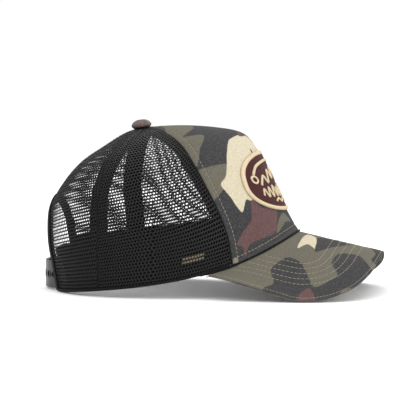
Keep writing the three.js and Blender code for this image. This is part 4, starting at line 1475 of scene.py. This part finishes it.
# Angles that space points evenly along the patch's edge.
def evenAngles(count):
    angle = np.linspace(0, 2 * math.pi, 1441)
    y, z = patchSpot(angle, 1.0, 0.0)
    along = np.concatenate([[0], np.cumsum(np.hypot(np.diff(y), np.diff(z)))])
    return np.interp(np.linspace(0, along[-1], count, endpoint=False), along, angle)


def makePatch(s):
    q = np.linspace(-1, 1, 91)
    a, b = np.meshgrid(q, q)
    a, b = a * np.sqrt(1 - b * b / 2), b * np.sqrt(1 - a * a / 2)
    y, z = patchSpot(np.arctan2(b, a), np.hypot(a, b), s["rope"] - 1.0)
    belly = 0.12 * (1 - a * a) * (1 - b * b)
    outer = crownAt(1, y, z, s["baseOut"] + belly)
    inner = crownAt(1, y, z, np.full(y.shape, s["baseIn"]))
    piece = clothSheet("patchTwill", outer, inner, patchCloth)
    clothDirections(piece, both(y), both(z))
    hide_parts("patch_base")
    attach(piece, "cap")

    # overlocked border: a round of slanting thread loops
    steps, sides = s["loops"] * 6, 14
    angle = evenAngles(steps)
    turn = np.linspace(0, 2 * math.pi, steps, endpoint=False)
    rings = []
    for k in range(sides):
        c = 2 * math.pi * k / sides
        across = 0.5 - 0.5 * math.cos(c)
        lift = math.sin(c)
        loop = 0.5 + 0.5 * np.sin(turn * s["loops"] + across * 2.6)
        bulge = 0.16 * loop
        shrink = s["rope"] * (1 - across) + (0.5 - across) * 1.2 * bulge
        if lift > 0:
            out = s["ropeBase"] + (s["ropeTop"] - s["ropeBase"]) * lift ** 0.8 + bulge - 0.16
        else:
            out = np.full(steps, s["ropeBase"] + 0.1 * lift)
        y, z = patchSpot(angle, 1.0, shrink)
        rings.append(crownAt(1, y, z, out))
    piece = sweep("patchBorder", np.stack(rings, 1), creamThread, loop=True)
    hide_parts("patch_border")
    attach(piece, "cap")


# Satin-stitch lines: raised ribbons whose threads run across them.
motifs = {
    "peaks": {"points": [(-25, -3), (-19, 4), (-15, -1), (-9, 8), (-5, 2), (0, 10), (6, 1), (10, 6),
                         (15, -1), (19, 3), (25, -3)], "width": 1.9},
    "wave": {"points": [(-15, -16), (-10, -14), (-5, -16.5), (0, -14), (5, -16.5), (10, -14), (15, -16)],
             "width": 1.6},
    "arc": {"points": [(-29, 5), (-20, 12.5), (0, 15.8), (20, 12.5), (29, 5)], "width": 2.0},
    "sun": {"points": [(-29.5 - 2.6 * math.cos(a), 1.5 + 2.6 * math.sin(a))
                       for a in np.linspace(0, 2 * math.pi, 13)], "width": 1.5},
    "pines": {"points": [(-27, -11), (-24.5, -6), (-21.5, -12), (-18.5, -5), (-15.5, -12), (-12, -4),
                         (-9, -12), (-6, -5.5), (-3, -12), (0, -4), (3, -12), (6, -5.5), (9, -12),
                         (12, -4), (15.5, -12), (18.5, -5), (21.5, -12), (24.5, -6), (27, -11)],
              "width": 1.5},
}


def makeMotif(name, s, node=None):
    line = np.array(s["points"], float)
    length = np.linalg.norm(np.diff(line, axis=0), axis=1).sum()
    threads = int(length / 0.42)
    steps = threads * 4
    p = spline(line, np.linspace(0, 1, steps + 1))
    along = unit(np.gradient(p, axis=0))
    side = np.stack([-along[:, 1], along[:, 0]], -1)
    comb = 0.5 + 0.5 * np.cos(np.arange(steps + 1) * math.pi / 2)
    rings = []
    half = s["width"] / 2
    section = [(-1, 0.0), (-0.92, 0.5), (-0.55, 0.9), (0, 1.0),
               (0.55, 0.9), (0.92, 0.5), (1, 0.0), (0, -0.1)]
    for x, lift in section:
        offset = x * half * (1 + 0.08 * comb)
        q = p + side * offset[:, None]
        out = 1.3 + lift * (0.85 + 0.12 * comb)
        rings.append(crownAt(1, q[:, 0], patch["middleZ"] + q[:, 1], out))
    piece = sweep(name + "Embroidery", np.stack(rings, 1), creamThread)
    if node:
        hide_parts(node)
    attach(piece, "cap")


makePatch(patch)
makeMotif("peaks", motifs["peaks"], "motif_peaks")
makeMotif("wave", motifs["wave"], "motif_wave")
for extra in ("arc", "sun", "pines"):
    makeMotif(extra, motifs[extra])
print("patch sewn on")


straps = {
    "back": -102.8, "hingeY": 31.5, "middleZ": 12.3, "height": 21.5, "thick": 1.2, "step": 1.55,
    "depth": 3.2, "pastMiddle": 12.0, "corner": 7.0, "rootGap": 0.35,
    "pegPitch": 7.5, "pegRadius": 1.9, "pegStem": 0.7, "pegDome": 0.9, "holeRadius": 2.6, "pegs": 6,
    "rimRise": 0.18,
}


def strapGeometry(s):
    z = s["middleZ"]
    low, high = s["hingeY"], s["hingeY"] + 6
    for _ in range(40):
        y = (low + high) / 2
        p = crownAt(-1, np.array([y]), np.array([z]), np.array([-s["depth"]]))[0]
        if p[1] < s["hingeY"]:
            low = y
        else:
            high = y
    sag = p[0] - s["back"]
    radius = (s["hingeY"] ** 2 + sag ** 2) / (2 * sag)
    return radius, s["back"] + radius, math.asin(s["hingeY"] / radius)


strapRadius, strapCentre, strapHinge = strapGeometry(straps)


# How much of its step outwards a strap has taken: none at the root, all of it near the middle.
def strapFade(angle):
    return smooth((strapHinge - np.abs(angle)) / (strapHinge * 0.55))


def strapPoint(angle, z, out, step):
    r = strapRadius + step * strapFade(angle) + out
    return np.stack(np.broadcast_arrays(strapCentre - r * np.cos(angle), r * np.sin(angle), z), -1)


# A place on the straps' middle line, with the directions away from the head and across.
def strapSpot(angle, s):
    spot = strapPoint(np.array(angle), s["middleZ"], 0.0, 0.0)
    away = np.array([-math.cos(angle), math.sin(angle), 0.0])
    return spot, away, np.array([-away[1], away[0], 0.0])


def pegAngle(k):
    return (k - 1) * straps["pegPitch"] / strapRadius


def strapBand(name, hand, step, s):
    root = strapHinge - s["rootGap"] / strapRadius
    tip = -s["pastMiddle"] / strapRadius
    count = 90
    angle = lerp(root, tip, np.linspace(0, 1, count) ** 0.9)
    toTip = np.maximum(0, s["corner"] - (angle - tip) * strapRadius)
    trim = s["corner"] - np.sqrt(np.maximum(0.02, s["corner"] ** 2 - toTip ** 2 * 0.96))
    half = s["height"] / 2 - trim
    # a flat band with rounded long edges
    section = []
    for side in (1, -1):
        for z in np.linspace(0.97, -0.97, 9) * side:
            section.append((z, side * 0.5))
        section.append((-1.0 * side, side * 0.28))
        section.append((-1.0 * side, -side * 0.28))
    rings = []
    for z, out in section:
        rings.append(strapPoint(angle * hand, s["middleZ"] + z * half, out * s["thick"], step))
    return sweep(name, np.stack(rings, 1), strapPlastic)


# A round body that stands on a strap, from its profile: distance from its middle line, and height.
def roundBody(name, profile, angle, out, s):
    sides = 28
    spot, away, across = strapSpot(angle, s)
    up = np.array([0.0, 0.0, 1.0])
    turns = [2 * math.pi * k / sides for k in range(sides)]
    rings = [[spot + away * (out + z) + across * r * math.cos(a) + up * r * math.sin(a) for a in turns]
             for r, z in profile]
    return sweep(name, np.array(rings), strapPlastic)


def applyAll(piece):
    depsgraph = bpy.context.evaluated_depsgraph_get()
    mesh = bpy.data.meshes.new_from_object(piece.evaluated_get(depsgraph))
    piece.modifiers.clear()
    piece.data = mesh


def combine(piece, others, operation):
    for other in others:
        cut = piece.modifiers.new("cut", "BOOLEAN")
        cut.operation = operation
        cut.solver = "EXACT"
        cut.object = other
    bpy.context.view_layer.update()
    applyAll(piece)
    for other in others:
        bpy.data.objects.remove(other)


def makeStraps(s):
    r, stem = s["pegRadius"], s["pegStem"]
    top = s["thick"] / 2
    dome = [(r, -0.5), (r, stem)]
    dome += [(max(0.12, r * math.cos(a)), stem + s["pegDome"] * math.sin(a))
             for a in np.linspace(0.2, math.pi / 2, 7)]
    inner = strapBand("pegStrap", 1, 0.0, s)
    pegs = [roundBody("peg", dome, pegAngle(k), top, s) for k in range(s["pegs"])]
    combine(inner, pegs, "UNION")
    outer = strapBand("holeStrap", -1, s["step"], s)
    h = s["holeRadius"]
    drill = [(h, -4.0), (h, 4.0)]
    drills = [roundBody("drill", drill, -pegAngle(k), s["step"], s) for k in range(s["pegs"])]
    combine(outer, drills, "DIFFERENCE")
    for piece, node, body in ((inner, "peg_strap", "inner_strap"), (outer, "hole_strap", "outer_strap")):
        piece.data.shade_smooth()
        piece.data.set_sharp_from_angle(angle=math.radians(38))
        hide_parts(node)
        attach(piece, body)
    # a low raised rim round each hole
    rise, wide = s["rimRise"], h + 0.85
    rim = [(h + 0.02, 0.0), (h + 0.1, rise), (h + 0.7, rise), (wide, 0.0), (wide, -0.2), (h + 0.02, -0.2)]
    for k in range(s["pegs"]):
        angle = -pegAngle(k)
        spot, away, across = strapSpot(angle, s)
        seat = s["step"] * strapFade(angle) + top
        rings = []
        for a in np.linspace(0, 2 * math.pi, 30, endpoint=False):
            flat = across * math.cos(a) + np.array([0, 0, math.sin(a)])
            # the rim bends with the strap
            rings.append([spot + away * (seat + z - (q * math.cos(a)) ** 2 / (2 * strapRadius)) + flat * q
                          for q, z in rim])
        piece = sweep("holeRim_%d" % (k + 1), np.array(rings), strapPlastic, loop=True)
        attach(piece, "outer_strap")


tongue = {"y": (35.2, 48.0), "z": (3.5, 21.5)}


def makeTongues(s, strap):
    near = strap["depth"] - strap["thick"] / 2
    for hand, label in ((1, "left"), (-1, "right")):
        y, z = np.meshgrid(np.linspace(*s["y"], 30), np.linspace(*s["z"], 34))
        far = (y - s["y"][0]) / (s["y"][1] - s["y"][0])
        centre = sum(s["z"]) / 2
        z = centre + (z - centre) * (1 - 0.16 * smooth((far - 0.7) / 0.3))
        dent = 0.15 * np.exp(-((far - 0.35) / 0.06) ** 2)
        outer = mirrored(crownAt(-1, y, z, -near - dent), hand)
        inner = mirrored(crownAt(-1, y, z, np.full(y.shape, -near - strap["thick"])), hand)
        piece = clothSheet("strapTongue_" + label, outer, inner, strapPlastic)
        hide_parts("strap_tongue_" + label)
        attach(piece, "cap")
        rows = []
        for share in (0.3, 0.62):
            rowZ = np.linspace(s["z"][0] + 1.5, s["z"][1] - 1.5, 30)
            phi, t = placeAt(-1, np.full(30, lerp(s["y"][0], s["y"][1], share)), rowZ)
            rows.append((mirrored(crown(phi, t, 0.12), hand), mirrored(crownNormal(phi, t), hand)))
        thread = stitches("strapStitches_" + label, rows, blackThread, 2.2, 0.7, 0.5)
        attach(thread, "cap")


makeStraps(straps)
makeTongues(tongue, straps)
print("straps made")
